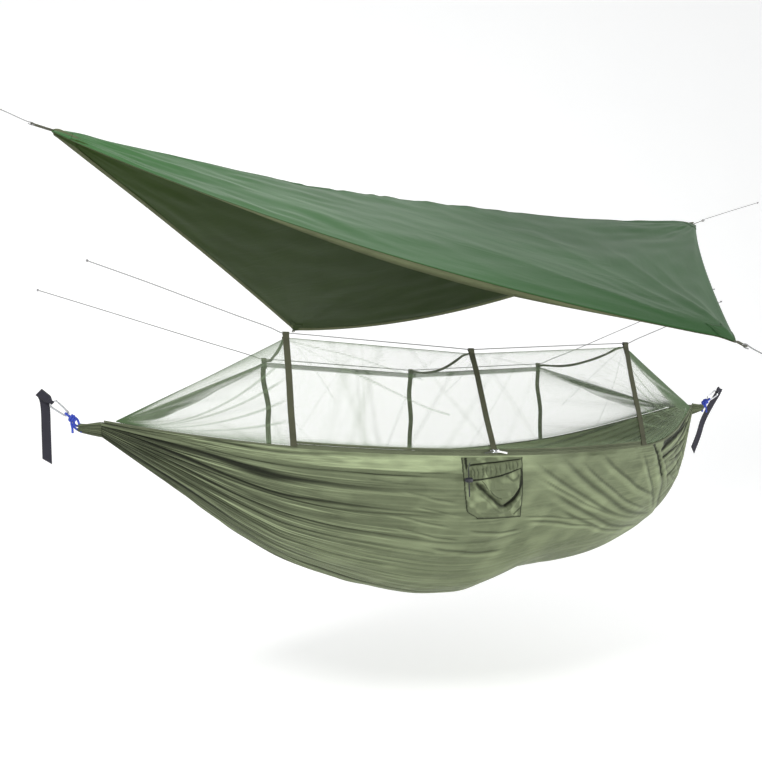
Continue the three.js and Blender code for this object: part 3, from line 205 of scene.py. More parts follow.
class CordSettings(bpy.types.PropertyGroup):
    """Webbing, ropes and cords"""

    webbing_colour: colour("Net webbing", (0.052, 0.054, 0.026), "Colour of the net's legs and tapes")
    strap_colour: colour("Anchor strap", (0.0125, 0.0115, 0.021), "Colour of the anchor straps")
    rope_colour: colour("End rope", (0.020, 0.045, 0.34), "Colour of the end ropes")
    drawcord_colour: colour("Drawcord", (0.018, 0.019, 0.022), "Colour of the pocket's drawcord")
    cord_colour: colour("Thin cord", (0.22, 0.22, 0.22), "Colour of the ridge lines and guylines")


class HardwareSettings(bpy.types.PropertyGroup):
    """Carabiners, zip and cord lock"""

    metal_colour: colour("Metal", (0.66, 0.67, 0.69), "Colour of the carabiners and sliders")
    plastic_colour: colour("Plastic", (0.012, 0.012, 0.017), "Colour of the cord lock")
    thread_colour: colour("Thread", (0.040, 0.044, 0.024), "Colour of the stitching")
    coil_colour: colour("Zip coil", (0.035, 0.042, 0.020), "Colour of the zip's coils")


# ---------------------------------------------------------------- helpers for curves and surfaces
def lerp(a, b, t):
    return a + (b - a) * t


def hermite(p0, m0, p1, m1, t):
    return (
        (2 * t**3 - 3 * t**2 + 1) * p0
        + (t**3 - 2 * t**2 + t) * m0
        + (3 * t**2 - 2 * t**3) * p1
        + (t**3 - t**2) * m1
    )


def spline(points, steps):
    """Points of the centripetal curve through the given ones, as the part's cords are swept."""
    given = [np.array(p, float) for p in points]
    padded = [2 * given[0] - given[1], *given, 2 * given[-1] - given[-2]]
    line = []
    for p0, p1, p2, p3 in zip(padded, padded[1:], padded[2:], padded[3:]):
        d0, d1, d2 = (max(np.linalg.norm(b - a) ** 0.5, 1e-6) for a, b in ((p0, p1), (p1, p2), (p2, p3)))
        m1 = d1 * ((p1 - p0) / d0 - (p2 - p0) / (d0 + d1) + (p2 - p1) / d1)
        m2 = d1 * ((p2 - p1) / d1 - (p3 - p1) / (d1 + d2) + (p3 - p2) / d2)
        line += [hermite(p1, m1, p2, m2, k / steps) for k in range(steps)]
    line.append(given[-1])
    return [Vector(p) for p in line]


def line_length(line):
    return sum((b - a).length for a, b in zip(line, line[1:]))


def smooth_noise(x, y, seed):
    """Value noise from -1 to 1 on arrays, one cell to a unit."""
    table = np.random.RandomState(seed).uniform(-1, 1, (61, 61))
    x, y = np.broadcast_arrays(x, y)
    left, low = np.floor(x).astype(int), np.floor(y).astype(int)
    a, b = x - left, y - low
    a, b = a * a * (3 - 2 * a), b * b * (3 - 2 * b)
    at = lambda i, j: table[(left + i) % 61, (low + j) % 61]
    return lerp(lerp(at(0, 0), at(1, 0), a), lerp(at(0, 1), at(1, 1), a), b)


def smoothstep(low, high, x):
    t = np.clip((x - low) / (high - low), 0, 1)
    return t * t * (3 - 2 * t)


def crossed(rows, columns):
    """Two rows of numbers, each spread over the grid that they make together."""
    return np.broadcast_arrays(rows[:, None], columns[None, :])


def bell(x, width):
    """A smooth hump of height 1 about zero."""
    return np.exp(-((x / width) ** 2))


def unit(vectors):
    """The last axis of an array brought to length 1."""
    return vectors / np.maximum(np.linalg.norm(vectors, axis=-1, keepdims=True), 1e-12)


def grid_normals(points):
    return unit(np.cross(np.gradient(points, axis=0), np.gradient(points, axis=1)))


def arc_lengths(points):
    """Distances in metres along and across a grid of points, for a UV map that follows the cloth."""
    along = np.linalg.norm(np.diff(points, axis=0, prepend=points[:1]), axis=2).cumsum(axis=0)
    across = np.linalg.norm(np.diff(points, axis=1, prepend=points[:, :1]), axis=2).cumsum(axis=1)
    middle = points.shape[1] // 2
    return np.stack([np.broadcast_to(along[:, middle:middle + 1], across.shape), across], axis=2)


def mesh_object(name, vertices, faces):
    mesh = bpy.data.meshes.new(name)
    mesh.from_pydata([tuple(v) for v in vertices], [], faces)
    mesh.validate()
    mesh.shade_smooth()
    obj = bpy.data.objects.new(name, mesh)
    bpy.context.scene.collection.objects.link(obj)
    return obj


def only(obj):
    """Makes one object the active and only selected one."""
    bpy.ops.object.select_all(action="DESELECT")
    obj.select_set(True)
    bpy.context.view_layer.objects.active = obj


@contextlib.contextmanager
def editing(obj):
    """Edit mode with the whole mesh selected, which ends with its normals turned outwards."""
    only(obj)
    bpy.ops.object.mode_set(mode="EDIT")
    bpy.ops.mesh.select_all(action="SELECT")
    yield
    bpy.ops.mesh.select_all(action="SELECT")
    bpy.ops.mesh.normals_make_consistent(inside=False)
    bpy.ops.object.mode_set(mode="OBJECT")


def smooth_by_angle(obj, degrees):
    only(obj)
    bpy.ops.object.shade_smooth_by_angle(angle=math.radians(degrees))


def finish_modifiers(obj):
    only(obj)
    for modifier in list(obj.modifiers):
        bpy.ops.object.modifier_apply(modifier=modifier.name)


def surface(name, points, thickness=0.0, uv=None, values=None, flip=False, fan=None):
    """A cloth from a grid of points, with its UV map in metres and named values stored on its points."""
    rows, columns = points.shape[:2]
    number = lambda i, j: i * columns + j
    order = -1 if flip else 1
    faces = [
        (number(i, j), number(i + 1, j), number(i + 1, j + 1), number(i, j + 1))[::order]
        for i in range(rows - 1)
        for j in range(columns - 1)
    ]
    obj = mesh_object(name, points.reshape(-1, 3), faces)
    mesh = obj.data
    corners = np.empty(len(mesh.loops), int)
    mesh.loops.foreach_get("vertex_index", corners)
    maps = {"Cloth": arc_lengths(points) if uv is None else uv}
    if fan is not None:
        maps["Fan"] = fan
    for label, flat in maps.items():
        layer = mesh.uv_layers.new(name=label)
        layer.data.foreach_set("uv", flat.reshape(-1, 2)[corners].ravel())
    for label, value in (values or {}).items():
        attribute = mesh.attributes.new(label, "FLOAT", "POINT")
        attribute.data.foreach_set("value", np.broadcast_to(value, (rows, columns)).ravel().astype(float))
    if thickness:
        modifier = obj.modifiers.new("Thickness", "SOLIDIFY")
        modifier.thickness, modifier.offset = thickness, 0.0
        finish_modifiers(obj)
    return obj


def webbing_profile(width, thickness):
    """Points round a band's cross-section, with softened edges."""
    half, thin = width / 2, thickness / 2
    edge = min(thin, half) * 0.8
    return [
        (-half, -thin + edge), (-half + edge * 0.4, -thin), (0, -thin), (half - edge * 0.4, -thin),
        (half, -thin + edge), (half, thin - edge), (half - edge * 0.4, thin), (0, thin),
        (-half + edge * 0.4, thin), (-half, thin - edge),
    ]


def tangents_along(line):
    """Unit directions along a line, one at each of its points."""
    steps = [(b - a).normalized() for a, b in zip(line, line[1:])]
    return [steps[0], *[(a + b).normalized() for a, b in zip(steps, steps[1:])], steps[-1]]


def arc_line(centre, first, second, radius, start, end, steps):
    """Points round a centre from one angle to another, in degrees from the first direction to the second."""
    angles = [math.radians(lerp(start, end, k / steps)) for k in range(steps + 1)]
    return [centre + first * (radius * math.cos(a)) + second * (radius * math.sin(a)) for a in angles]


def ribbon(name, line, across, width, thickness, curl=None):
    """A band of webbing along a line.

    across is one direction or one for each point; curl rolls the band up lengthwise, 0 to 1.
    """
    sides = across if isinstance(across, list) else [across] * len(line)
    profile = webbing_profile(width, thickness)
    rows, uvs = [], []
    travelled = 0.0
    for i, (at, tangent, side) in enumerate(zip(line, tangents_along(line), sides)):
        travelled += (at - line[i - 1]).length if i else 0
        side = (side - tangent * side.dot(tangent)).normalized()
        up = side.cross(tangent)
        roll = curl[i] if curl else 0.0
        ring, flat = [], []
        for x, h in [*profile, profile[0]]:
            if roll > 0.02:
                radius = width / (2 * math.pi * 0.8 * roll)
                angle = x / radius
                inside = radius - h
                place = side * (inside * math.sin(angle)) + up * (radius - inside * math.cos(angle))
            else:
                place = side * x + up * h
            ring.append(at + place)
            flat.append((travelled, x))
        rows.append(ring)
        uvs.append(flat)
    obj = surface(name, np.array(rows), uv=np.array(uvs))
    close_ends(obj)
    return obj


def close_ends(obj):
    """Joins the doubled seam of a band or tube and fills its two open ends."""
    with editing(obj):
        bpy.ops.mesh.remove_doubles(threshold=SEAM_GAP)
        bpy.ops.mesh.fill_holes(sides=0)
    smooth_by_angle(obj, 50)


def carried_frames(line):
    """Tangent and side directions along a line, turned as little as possible."""
    tangents = tangents_along(line)
    side = tangents[0].orthogonal().normalized()
    frames = []
    for tangent in tangents:
        side = (side - tangent * side.dot(tangent)).normalized()
        frames.append((tangent, side, tangent.cross(side)))
    return frames


def tube_parts(line, radius, sides=12, round_ends=True):
    """Vertices, faces and UVs of a tube with closed ends; radius is a number or one for each point."""
    radii = list(radius) if hasattr(radius, "__len__") else [radius] * len(line)
    frames = carried_frames(line)
    rings, vs = [], []
    travelled = 0.0
    for i, (at, carried, r) in enumerate(zip(line, frames, radii)):
        travelled += (at - line[i - 1]).length if i else 0
        rings.append((at, carried, r))
        vs.append(travelled)
    for end, way in ((0, -1), (-1, 1)) if round_ends else ():
        at, carried, r = rings[end]
        for step in (0.6, 0.12):
            centre = at + carried[0] * (way * r) * (1 - step) * 0.9
            place = 0 if end == 0 else len(rings)
            rings.insert(place, (centre, carried, r * math.sin(math.acos(1 - step))))
            vs.insert(place, vs[end])
    vertices = []
    for at, (_, side, up), r in rings:
        for k in range(sides):
            angle = 2 * math.pi * k / sides
            vertices.append(at + side * (r * math.cos(angle)) + up * (r * math.sin(angle)))
    faces, uvs = [], []
    for i in range(len(rings) - 1):
        for k in range(sides):
            n = (k + 1) % sides
            faces.append((i * sides + k, i * sides + n, (i + 1) * sides + n, (i + 1) * sides + k))
            a, b = k / sides, (k + 1) / sides
            uvs += [(vs[i], a), (vs[i], b), (vs[i + 1], b), (vs[i + 1], a)]
    last = (len(rings) - 1) * sides
    faces.append(tuple(reversed(range(sides))))
    uvs += [(vs[0], 0.5)] * sides
    faces.append(tuple(range(last, last + sides)))
    uvs += [(vs[-1], 0.5)] * sides
    return vertices, faces, uvs


def tubes(name, parts):
    """One object from several tubes' parts."""
    vertices, faces, uvs = [], [], []
    for own_vertices, own_faces, own_uvs in parts:
        start = len(vertices)
        vertices += own_vertices
        faces += [tuple(start + v for v in face) for face in own_faces]
        uvs += own_uvs
    obj = mesh_object(name, vertices, faces)
    layer = obj.data.uv_layers.new(name="Cloth")
    for item, uv in zip(layer.data, uvs):
        item.uv = uv
    return obj


def stitches(name, lines, pitch=0.0045, radius=0.00035):
    """Rows of short thread loops, each a small tube that lies on the cloth."""
    parts = []
    for line in lines:
        total = line_length(line)
        for k in range(max(int(total / pitch), 1)):
            start, end = (point_along(line, (k + share) * pitch) for share in (0.12, 0.78))
            parts.append(tube_parts([start, (start + end) / 2, end], [radius * 0.7, radius, radius * 0.7], 6))
    return tubes(name, parts)


def point_along(line, distance):
    for a, b in zip(line, line[1:]):
        step = (b - a).length
        if distance <= step:
            return a.lerp(b, distance / max(step, 1e-9))
        distance -= step
    return line[-1].copy()


def refined(node, name, bevel):
    """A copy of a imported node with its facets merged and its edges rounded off."""
    obj = bpy.data.objects.new(name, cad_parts[node].data.copy())
    bpy.context.scene.collection.objects.link(obj)
    with editing(obj):
        bpy.ops.mesh.remove_doubles(threshold=SEAM_GAP)
        bpy.ops.mesh.dissolve_limited(angle_limit=math.radians(2))
    return rounded(obj, bevel, 35)


def primitive(kind, name, **settings):
    """A primitive with its place and turn applied to its mesh."""
    bpy.ops.object.select_all(action="DESELECT")
    getattr(bpy.ops.mesh, f"primitive_{kind}_add")(**settings)
    obj = bpy.context.object
    obj.name = obj.data.name = name
    bpy.ops.object.transform_apply(location=True, rotation=True, scale=True)
    return obj


def cylinder(name, radius, depth, vertices, **place):
    return primitive("cylinder", name, radius=radius, depth=depth, vertices=vertices, **place)


def drawn_wire(name, path, radius, sides=16):
    """A bent round bar in the XY plane: a disc drawn out step by step, and turned at each step."""
    first = path[1] - path[0]
    heading = math.atan2(first.y, first.x)
    obj = primitive(
        "circle", name, vertices=sides, radius=radius, fill_type="NGON", location=path[0],
        rotation=(math.pi / 2, 0, heading + math.pi / 2),
    )
    with editing(obj):
        for k, (a, b) in enumerate(zip(path, path[1:])):
            bpy.ops.mesh.extrude_region_move(TRANSFORM_OT_translate={"value": b - a})
            if k + 2 < len(path):
                after = path[k + 2] - b
                turn = (math.atan2(after.y, after.x) - heading + math.pi) % (2 * math.pi) - math.pi
                swing = turn if k + 3 == len(path) else turn / 2 + (turn_left if k else 0)
                bpy.ops.transform.rotate(
                    value=-swing, orient_axis="Z", orient_type="GLOBAL", center_override=b
                )
                turn_left = turn - swing if k == 0 else turn / 2
                heading += turn
    return obj


def boolean(obj, other, operation):
    modifier = obj.modifiers.new(operation, "BOOLEAN")
    modifier.object, modifier.operation, modifier.solver = other, operation, "EXACT"
    finish_modifiers(obj)
    bpy.data.objects.remove(other, do_unlink=True)


def rounded(obj, width, angle, segments=2):
    modifier = obj.modifiers.new("Edges", "BEVEL")
    modifier.width, modifier.segments = width, segments
    modifier.limit_method, modifier.angle_limit = "ANGLE", math.radians(angle)
    finish_modifiers(obj)
    smooth_by_angle(obj, angle)
    return obj


def frame_at(origin, along, across):
    """The matrix that puts X along one direction and Y as near to another as it can."""
    x = along.normalized()
    z = x.cross(across).normalized()
    turned = Matrix((x, z.cross(x), z)).transposed().to_4x4()
    return Matrix.Translation(origin) @ turned


# ---------------------------------------------------------------- the bed's outline, as in the part
BED_START = LEFT_GATHER.x + GATHER_LENGTH - GATHER_RADIUS + 2 * CLEARANCE
BED_END = RIGHT_GATHER.x - GATHER_LENGTH + GATHER_RADIUS - 2 * CLEARANCE
MOUTH_LIFT = GATHER_MOUTH * 0.5
MOUTH_SPREAD = GATHER_MOUTH * 0.72


def gather_line_z(x):
    return lerp(LEFT_GATHER.z, RIGHT_GATHER.z, (x - LEFT_GATHER.x) / (RIGHT_GATHER.x - LEFT_GATHER.x))


def ridge_z(x):
    return RIDGE_HEIGHT - RIDGE_DIP * np.maximum(0, 1 - np.abs(x - LEG_X[1]) / LEG_SPACING)


def rim_foot(side, i):
    lift = BACK_RIM_LIFTS[i] if side > 0 else 0
    return Vector((LEG_X[i] + LEG_LEAN, side * RIM_HALF_WIDTHS[i], RIM_HEIGHTS[i] + lift))


class Arc:
    """The circular arc from a to b through m."""

    def __init__(self, a, m, b):
        to_middle, to_end = m - a, b - a
        normal = to_middle.cross(to_end)
        offset = normal.cross(to_middle) * to_end.length_squared
        offset += to_end.cross(normal) * to_middle.length_squared
        self.centre = a + offset / (2 * normal.length_squared)
        self.axis = normal.normalized()
        self.spoke = a - self.centre
        self.radius = self.spoke.length
        self.angle = self.spoke.angle(b - self.centre)

    def at(self, share):
        return self.centre + Matrix.Rotation(share * self.angle, 3, self.axis) @ self.spoke


RIM_ARC = {side: Arc(*(rim_foot(side, i) for i in range(3))) for side in (-1, 1)}
ARC_START = (LEG_X[0] + LEG_LEAN - BED_START) / (BED_END - BED_START)
ARC_END = (LEG_X[2] + LEG_LEAN - BED_START) / (BED_END - BED_START)


def rim_at(side, s):
    """The rim's point at a share s of the bed's length."""
    arc = RIM_ARC[side]
    if ARC_START < s < ARC_END:
        return arc.at((s - ARC_START) / (ARC_END - ARC_START))
    x = lerp(BED_START, BED_END, s)
    left = x < LEG_X[1]
    end, near = arc.at(0 if left else 1), arc.at(0.001 if left else 0.999)
    start_x = BED_START if left else BED_END
    start = Vector((start_x, side * MOUTH_SPREAD, gather_line_z(start_x) + MOUTH_LIFT))
    span = end.x - start.x
    t = (x - start.x) / span
    slopes = [(end[k] - near[k]) / (end.x - near.x) for k in (1, 2)]
    y, z = (
        hermite(start[k], 1.25 * (end[k] - start[k]), end[k], slopes[k - 1] * span, t) for k in (1, 2)
    )
    return Vector((x, y, z))


KEEL_SHARES = ((0.1, 0.29), (0.25, 0.72), (0.4, 0.95), (0.5, 1), (0.6, 0.915), (0.75, 0.83), (0.9, 0.545))
KEEL_STATIONS = [
    (BED_START, GATHER_MOUTH),
    *[(lerp(LEFT_GATHER.x, RIGHT_GATHER.x, along), share * KEEL_SAG) for along, share in KEEL_SHARES],
    (BED_END, GATHER_MOUTH),
]


def keel_drop(x):
    """How far the keel hangs below the line between the gathered ends, on an array of x."""
    xs, ys = (np.array(column) for column in zip(*KEEL_STATIONS))
    last = len(xs) - 1
    before, after = np.maximum(np.arange(last + 1) - 1, 0), np.minimum(np.arange(last + 1) + 1, last)
    slopes = (ys[after] - ys[before]) / (xs[after] - xs[before])
    k = np.clip(np.searchsorted(xs, x, side="right") - 1, 0, last - 1)
    span = xs[k + 1] - xs[k]
    return hermite(ys[k], slopes[k] * span, ys[k + 1], slopes[k + 1] * span, (x - xs[k]) / span)


def bed_grid(shares, turns):
    """The bed's surface: shares along it, turns from -1 at the front rim to 1 at the back rim."""
    front, back = (np.array([rim_at(side, s) for s in shares]) for side in (-1, 1))
    turn = np.array(turns)[None, :]
    x = lerp(front[:, :1], back[:, :1], (turn + 1) / 2)
    rim_y = np.where(turn < 0, front[:, 1:2], back[:, 1:2])
    rim_z = np.where(turn < 0, front[:, 2:], back[:, 2:])
    angle = np.abs(turn) * math.pi / 2
    z = lerp(rim_z, gather_line_z(x) - keel_drop(x), np.cos(angle) ** SECTION_POWER)
    return np.stack([x, rim_y * np.sin(angle), z], axis=2)


# ---------------------------------------------------------------- shader nodes
class Nodes:
    """Short names for building a shader tree."""

    def __init__(self, tree):
        self.tree = tree

    def add(self, kind, inputs=None, **settings):
        node = self.tree.nodes.new(f"ShaderNode{kind}")
        for key, value in settings.items():
            setattr(node, key, value)
        for key, value in (inputs or {}).items():
            self.feed(node.inputs[key], value)
        return node

    def feed(self, socket, value):
        if isinstance(value, bpy.types.NodeSocket):
            self.tree.links.new(value, socket)
        else:
            socket.default_value = value

    def math(self, operation, a, b=0.0, clamp=False):
        return self.add("Math", {0: a, 1: b}, operation=operation, use_clamp=clamp).outputs[0]

    def times(self, a, b, clamp=False):
        return self.math("MULTIPLY", a, b, clamp)

    def larger(self, a, b):
        return self.math("MAXIMUM", a, b)

    def mix(self, share, a, b):
        node = self.add("Mix", {"Factor": share}, data_type="RGBA")
        self.feed(node.inputs["A"], a)
        self.feed(node.inputs["B"], b)
        return node.outputs["Result"]

    def remap(self, value, low, high, to_low=0.0, to_high=1.0):
        limits = {"From Min": low, "From Max": high, "To Min": to_low, "To Max": to_high}
        return self.add("MapRange", {"Value": value, **limits}).outputs["Result"]

    def noise(self, place, scale, detail, **more):
        return self.add("TexNoise", {"Vector": place, "Scale": scale, "Detail": detail, **more}).outputs[0]

    def fold(self, noise):
        """How far a noise is from its middle, which makes sharp lines where it passes through it."""
        return self.math("ABSOLUTE", self.math("SUBTRACT", noise, 0.5))

    def stretch(self, place, scale):
        return self.add("Mapping", {"Vector": place, "Scale": scale}).outputs[0]

    def scale(self, place, scale):
        return self.add("VectorMath", {0: place, "Scale": scale}, operation="SCALE").outputs[0]

    def axes(self, place):
        return self.add("SeparateXYZ", {0: place}).outputs

    def attribute(self, name):
        return self.add("Attribute", attribute_name=name).outputs["Fac"]

    def group(self, name, **inputs):
        node = self.add("Group", node_tree=bpy.data.node_groups[name])
        for key, value in inputs.items():
            self.feed(node.inputs[key.replace("_", " ")], value)
        return node.outputs


def node_group(name, inputs, outputs):
    """An empty shader group with its sockets, and the Nodes and group ends to fill it with."""
    tree = bpy.data.node_groups.new(name, "ShaderNodeTree")
    for label, default in inputs:
        kind = "NodeSocketVector" if default is None else "NodeSocketFloat"
        socket = tree.interface.new_socket(label, in_out="INPUT", socket_type=kind)
        if default is not None:
            socket.default_value = default
    for label in outputs:
        tree.interface.new_socket(label, in_out="OUTPUT", socket_type="NodeSocketFloat")
    return Nodes(tree), tree.nodes.new("NodeGroupInput").outputs, tree.nodes.new("NodeGroupOutput").inputs


def build_weave():
    """Plain weave: threads over and under each other."""
    nodes, given, out = node_group("Weave", [("Place", None), ("Threads per metre", 1200.0)], ["Height"])
    parts = nodes.axes(nodes.scale(given["Place"], given["Threads per metre"]))
    waves = [nodes.math("SINE", nodes.times(parts[axis], math.pi)) for axis in (0, 1)]
    nodes.feed(out["Height"], nodes.remap(nodes.times(*waves), -1, 1))


def build_crinkle():
    """Fine sharp creases of thin nylon, drawn out along the first axis of their place."""
    sockets = [("Place", None), ("Scale", 20.0), ("Stretch", 0.25)]
    nodes, given, out = node_group("Crinkle", sockets, ["Height", "Patches"])
    parts = nodes.axes(given["Place"])
    drawn = nodes.times(parts[0], given["Stretch"])
    place = nodes.add("CombineXYZ", {0: drawn, 1: parts[1], 2: parts[2]}).outputs[0]
    ridged = []
    for share, detail in ((1.0, 2.0), (2.7, 3.0)):
        scale = nodes.times(given["Scale"], share)
        noise = nodes.noise(place, scale, detail, Roughness=0.5, Distortion=0.6)
        ridged.append(nodes.remap(nodes.fold(noise), 0.0, 0.16, 1.0, 0.0))
    nodes.feed(out["Height"], nodes.math("ADD", ridged[0], nodes.times(ridged[1], 0.45)))
    nodes.feed(out["Patches"], nodes.noise(place, nodes.times(given["Scale"], 0.35), 3.0))


def build_drawn_pleats():
    """Lines of painted shade in valleys and of painted highlight on crests, from a map of the share along it
    and the turn round it.
    """
    nodes, given, out = node_group("Drawn pleats", [("Place", None)], ["Lines", "Crests"])
    valleys, crests = [], []
    for along, across, narrow in ((2.2, 30.0, 0.050), (3.5, 64.0, 0.055), (5.0, 110.0, 0.045)):
        fold = nodes.fold(nodes.noise(nodes.stretch(given["Place"], (along, across, 1.0)), 1.0, 1.5))
        valleys.append(nodes.remap(fold, 0.0, narrow, 1.0, 0.0))
        crests.append(nodes.remap(fold, 0.04, 0.10))
    patches = nodes.noise(nodes.stretch(given["Place"], (6.0, 12.0, 1.0)), 1.0, 1.0)
    mask = nodes.remap(patches, 0.25, 0.45)
    deepest = nodes.larger(nodes.larger(*valleys[:2]), nodes.times(valleys[2], 0.7))
    nodes.feed(out["Lines"], nodes.times(deepest, mask))
    nodes.feed(out["Crests"], nodes.times(crests[0], nodes.math("ADD", 0.4, crests[1])))


def build_strands():
    """Strands laid both ways round a cord, or coils of a wire, from a UV map with the length first."""
    sockets = [("Place", None), ("Turns per metre", 60.0), ("Strands", 3.0)]
    nodes, given, out = node_group("Strands", sockets, ["Height", "Fibres"])
    parts = nodes.axes(given["Place"])
    along = nodes.times(parts[0], given["Turns per metre"])
    heights = []
    for way in (1.0, -1.0):
        turned = nodes.times(parts[1], given["Strands"])
        phase = nodes.math("ADD", along, nodes.times(turned, way))
        heights.append(nodes.math("ABSOLUTE", nodes.math("SINE", nodes.times(phase, math.pi))))
    nodes.feed(out["Height"], nodes.larger(*heights))
    nodes.feed(out["Fibres"], nodes.noise(nodes.stretch(given["Place"], (300.0, 14.0, 1.0)), 3.0, 3.0))


def build_soiling():
    """Faint handling marks and dust, as a mask."""
    nodes, given, out = node_group("Soiling", [("Place", None), ("Scale", 6.0)], ["Mask"])
    nodes.feed(out["Mask"], nodes.remap(nodes.noise(given["Place"], given["Scale"], 6.0), 0.42, 0.7))


def rgba(colour_value, share=1.0):
    return (*[min(c * share, 1.0) for c in colour_value], 1.0)


class Finish(Nodes):
    """One material: its tint, its Principled shader and the places that its patterns follow."""

    def __init__(self, name, tint, roughness, metallic=0.0, **sockets):
        material = bpy.data.materials.new(f"{name}_finish")
        material.use_nodes = True
        super().__init__(material.node_tree)
        self.tint = tint
        self.sockets = self.tree.nodes["Principled BSDF"].inputs
        for key, value in {"Roughness": roughness, "Metallic": metallic, **sockets}.items():
            self.put(key.replace("_", " "), value)
        places = self.add("TexCoord").outputs
        self.flat, self.solid = places["UV"], places["Object"]
        self.relief = None

    def put(self, socket, value):
        self.feed(self.sockets[socket], value)

    def shade(self, share):
        return rgba(self.tint, share)

    def soiling(self, scale):
        return self.group("Soiling", Place=self.solid, Scale=scale)["Mask"]

    def weave(self, threads):
        return self.group("Weave", Place=self.flat, Threads_per_metre=threads)["Height"]

    def bump(self, height, distance, strength=1.0):
        """Lays one more relief over those before it."""
        node = self.add("Bump", {"Height": height, "Distance": distance, "Strength": strength})
        if self.relief is not None:
            self.feed(node.inputs["Normal"], self.relief)
        self.relief = node.outputs[0]
        self.put("Normal", self.relief)


def cloth_material(name, tint, roughness, crease, crease_scale=30.0):
    """Thin woven nylon: creases with a painted highlight on their ridges, weave, and colour that shifts in
    soft patches.
    """
    look = Finish(name, tint, roughness, Sheen_Weight=0.01, Sheen_Roughness=0.4, Specular_IOR_Level=0.1)
    crinkle = look.group("Crinkle", Place=look.flat, Scale=crease_scale, Stretch=0.35)
    weave = look.weave(900.0)
    soiling = look.soiling(5.0)
    patched = look.mix(look.remap(crinkle["Patches"], 0.3, 0.7), look.shade(0.86), look.shade(1.14))
    # lit: the crinkles' ridges painted paler, a painted highlight.
    lit = look.mix(look.times(crinkle["Height"], 0.24, True), patched, look.shade(1.5))
    soiled = look.mix(look.times(soiling, 0.2), lit, look.shade(0.7))
    look.put("Roughness", look.remap(soiling, 0, 1, roughness - 0.05, roughness + 0.1))
    look.bump(crinkle["Height"], crease)
    look.bump(weave, 0.0001, 0.5)
    if name == "bed_cloth":
        soiled = pleated_colour(look, soiled)
    look.put("Base Color", soiled)


def pleated_colour(look, plain):
    """The bed's colour: painted shade in the pleats' valleys, painted highlight on their crests, and the
    inside painted evenly pale, a painted light, with the valleys' painted shade over it.
    """
    fan = look.group("Drawn pleats", Place=look.add("UVMap", uv_map="Fan").outputs[0])
    drawn, creased = look.attribute("drawn"), look.attribute("creased")
    lines = look.times(fan["Lines"], drawn)
    look.bump(look.math("SUBTRACT", 1.0, lines), 0.0022, 0.8)
    crested = look.attribute("crested")
    # pale: the painted highlight on crests.
    pale = look.larger(crested, look.times(fan["Crests"], drawn))
    lighter = look.mix(look.remap(pale, 0.0, 0.85), plain, look.shade(2.9))
    # deep and shadow: the painted shade of creases and of the drawn pleats' valleys.
    deep = look.remap(creased, 0.10, 0.58)
    shadow = look.larger(look.times(deep, 0.94), look.times(lines, 0.93))
    outside = look.mix(shadow, lighter, look.shade(0.08))
    # inner: painted light, far paler than the cloth's own colour, for the inside.
    inner = look.mix(look.times(shadow, 0.9), look.shade(3.6), look.shade(0.5))
    return look.mix(look.add("NewGeometry").outputs["Backfacing"], outside, inner)


def sheet_material(name, tint, roughness):
    """Coated nylon: long soft tension creases and a fine weave, and painted shade that darkens it towards the
    sheet's right end.
    """
    look = Finish(name, tint, roughness, Sheen_Weight=0.01, Specular_IOR_Level=0.12)
    crinkle = look.group("Crinkle", Place=look.flat, Scale=9.0, Stretch=0.5)
    weave = look.weave(900.0)
    soiling = look.soiling(2.6)
    patched = look.mix(look.remap(crinkle["Patches"], 0.3, 0.7), look.shade(0.9), look.shade(1.12))
    soiled = look.mix(look.times(soiling, 0.3), patched, look.shade(1.3))
    along = look.axes(look.solid)[0]
    # Painted shade: the colour darkens along X towards the sheet's right end.
    look.put("Base Color", look.mix(look.remap(along, 0.1, 1.6, 1.0, 0.62), look.shade(0.0), soiled))
    look.bump(crinkle["Height"], 0.0012, 0.3)
    look.bump(weave, 0.0001, 0.4)


NET_DEPTH = (0.052, 0.100, 0.032)


def net_material(name, tint, density):
    """Fine net: thin threads with open holes between them, denser where it is gathered."""
    look = Finish(name, tint, 0.75, Sheen_Weight=0.05)
    parts = look.axes(look.scale(look.flat, 620.0))
    threads = [look.math("LESS_THAN", look.math("FRACT", parts[axis]), density * 0.52) for axis in (0, 1)]
    thread = look.larger(*threads)
    gathered = look.attribute("gathered")
    haze = look.times(look.math("POWER", gathered, 1.2), 1.6, True)
    cover = look.larger(thread, haze)
    look.put("Base Color", look.mix(look.times(gathered, 1.6, True), look.shade(1.0), rgba(NET_DEPTH)))
    look.put("Alpha", look.times(cover, 0.96))
    look.bump(thread, 0.0002)


def webbing_material(name, tint, ribs_per_metre=480.0):
    """Woven webbing: ribs across it with painted shade between them, paler where it is worn."""
    look = Finish(name, tint, 0.8, Sheen_Weight=0.05, Sheen_Roughness=0.5)
    weave = look.weave(ribs_per_metre)
    soiling = look.soiling(30.0)
    # ribs: painted shade in the grooves of the weave, and its tops painted paler.
    ribs = look.mix(weave, look.shade(0.6), look.shade(1.2))
    look.put("Base Color", look.mix(look.times(soiling, 0.3), ribs, look.shade(1.6)))
    look.bump(weave, 0.0004)


def rope_material(name, tint, turns, strands, depth):
    """Braided cord: strands laid both ways round it, with painted shade in the grooves between them and fine
    fibres on them.
    """
    look = Finish(name, tint, 0.6, Sheen_Weight=0.05, Sheen_Roughness=0.35)
    braid = look.group("Strands", Place=look.flat, Turns_per_metre=turns, Strands=strands)
    # shaded: painted shade in the grooves between the strands, and the strands' tops painted paler.
    shaded = look.mix(braid["Height"], look.shade(0.4), look.shade(1.15))
    look.put("Base Color", look.mix(look.times(braid["Fibres"], 0.5), shaded, look.shade(1.8)))
    look.bump(braid["Height"], depth)
    look.bump(braid["Fibres"], depth * 0.25, 0.6)


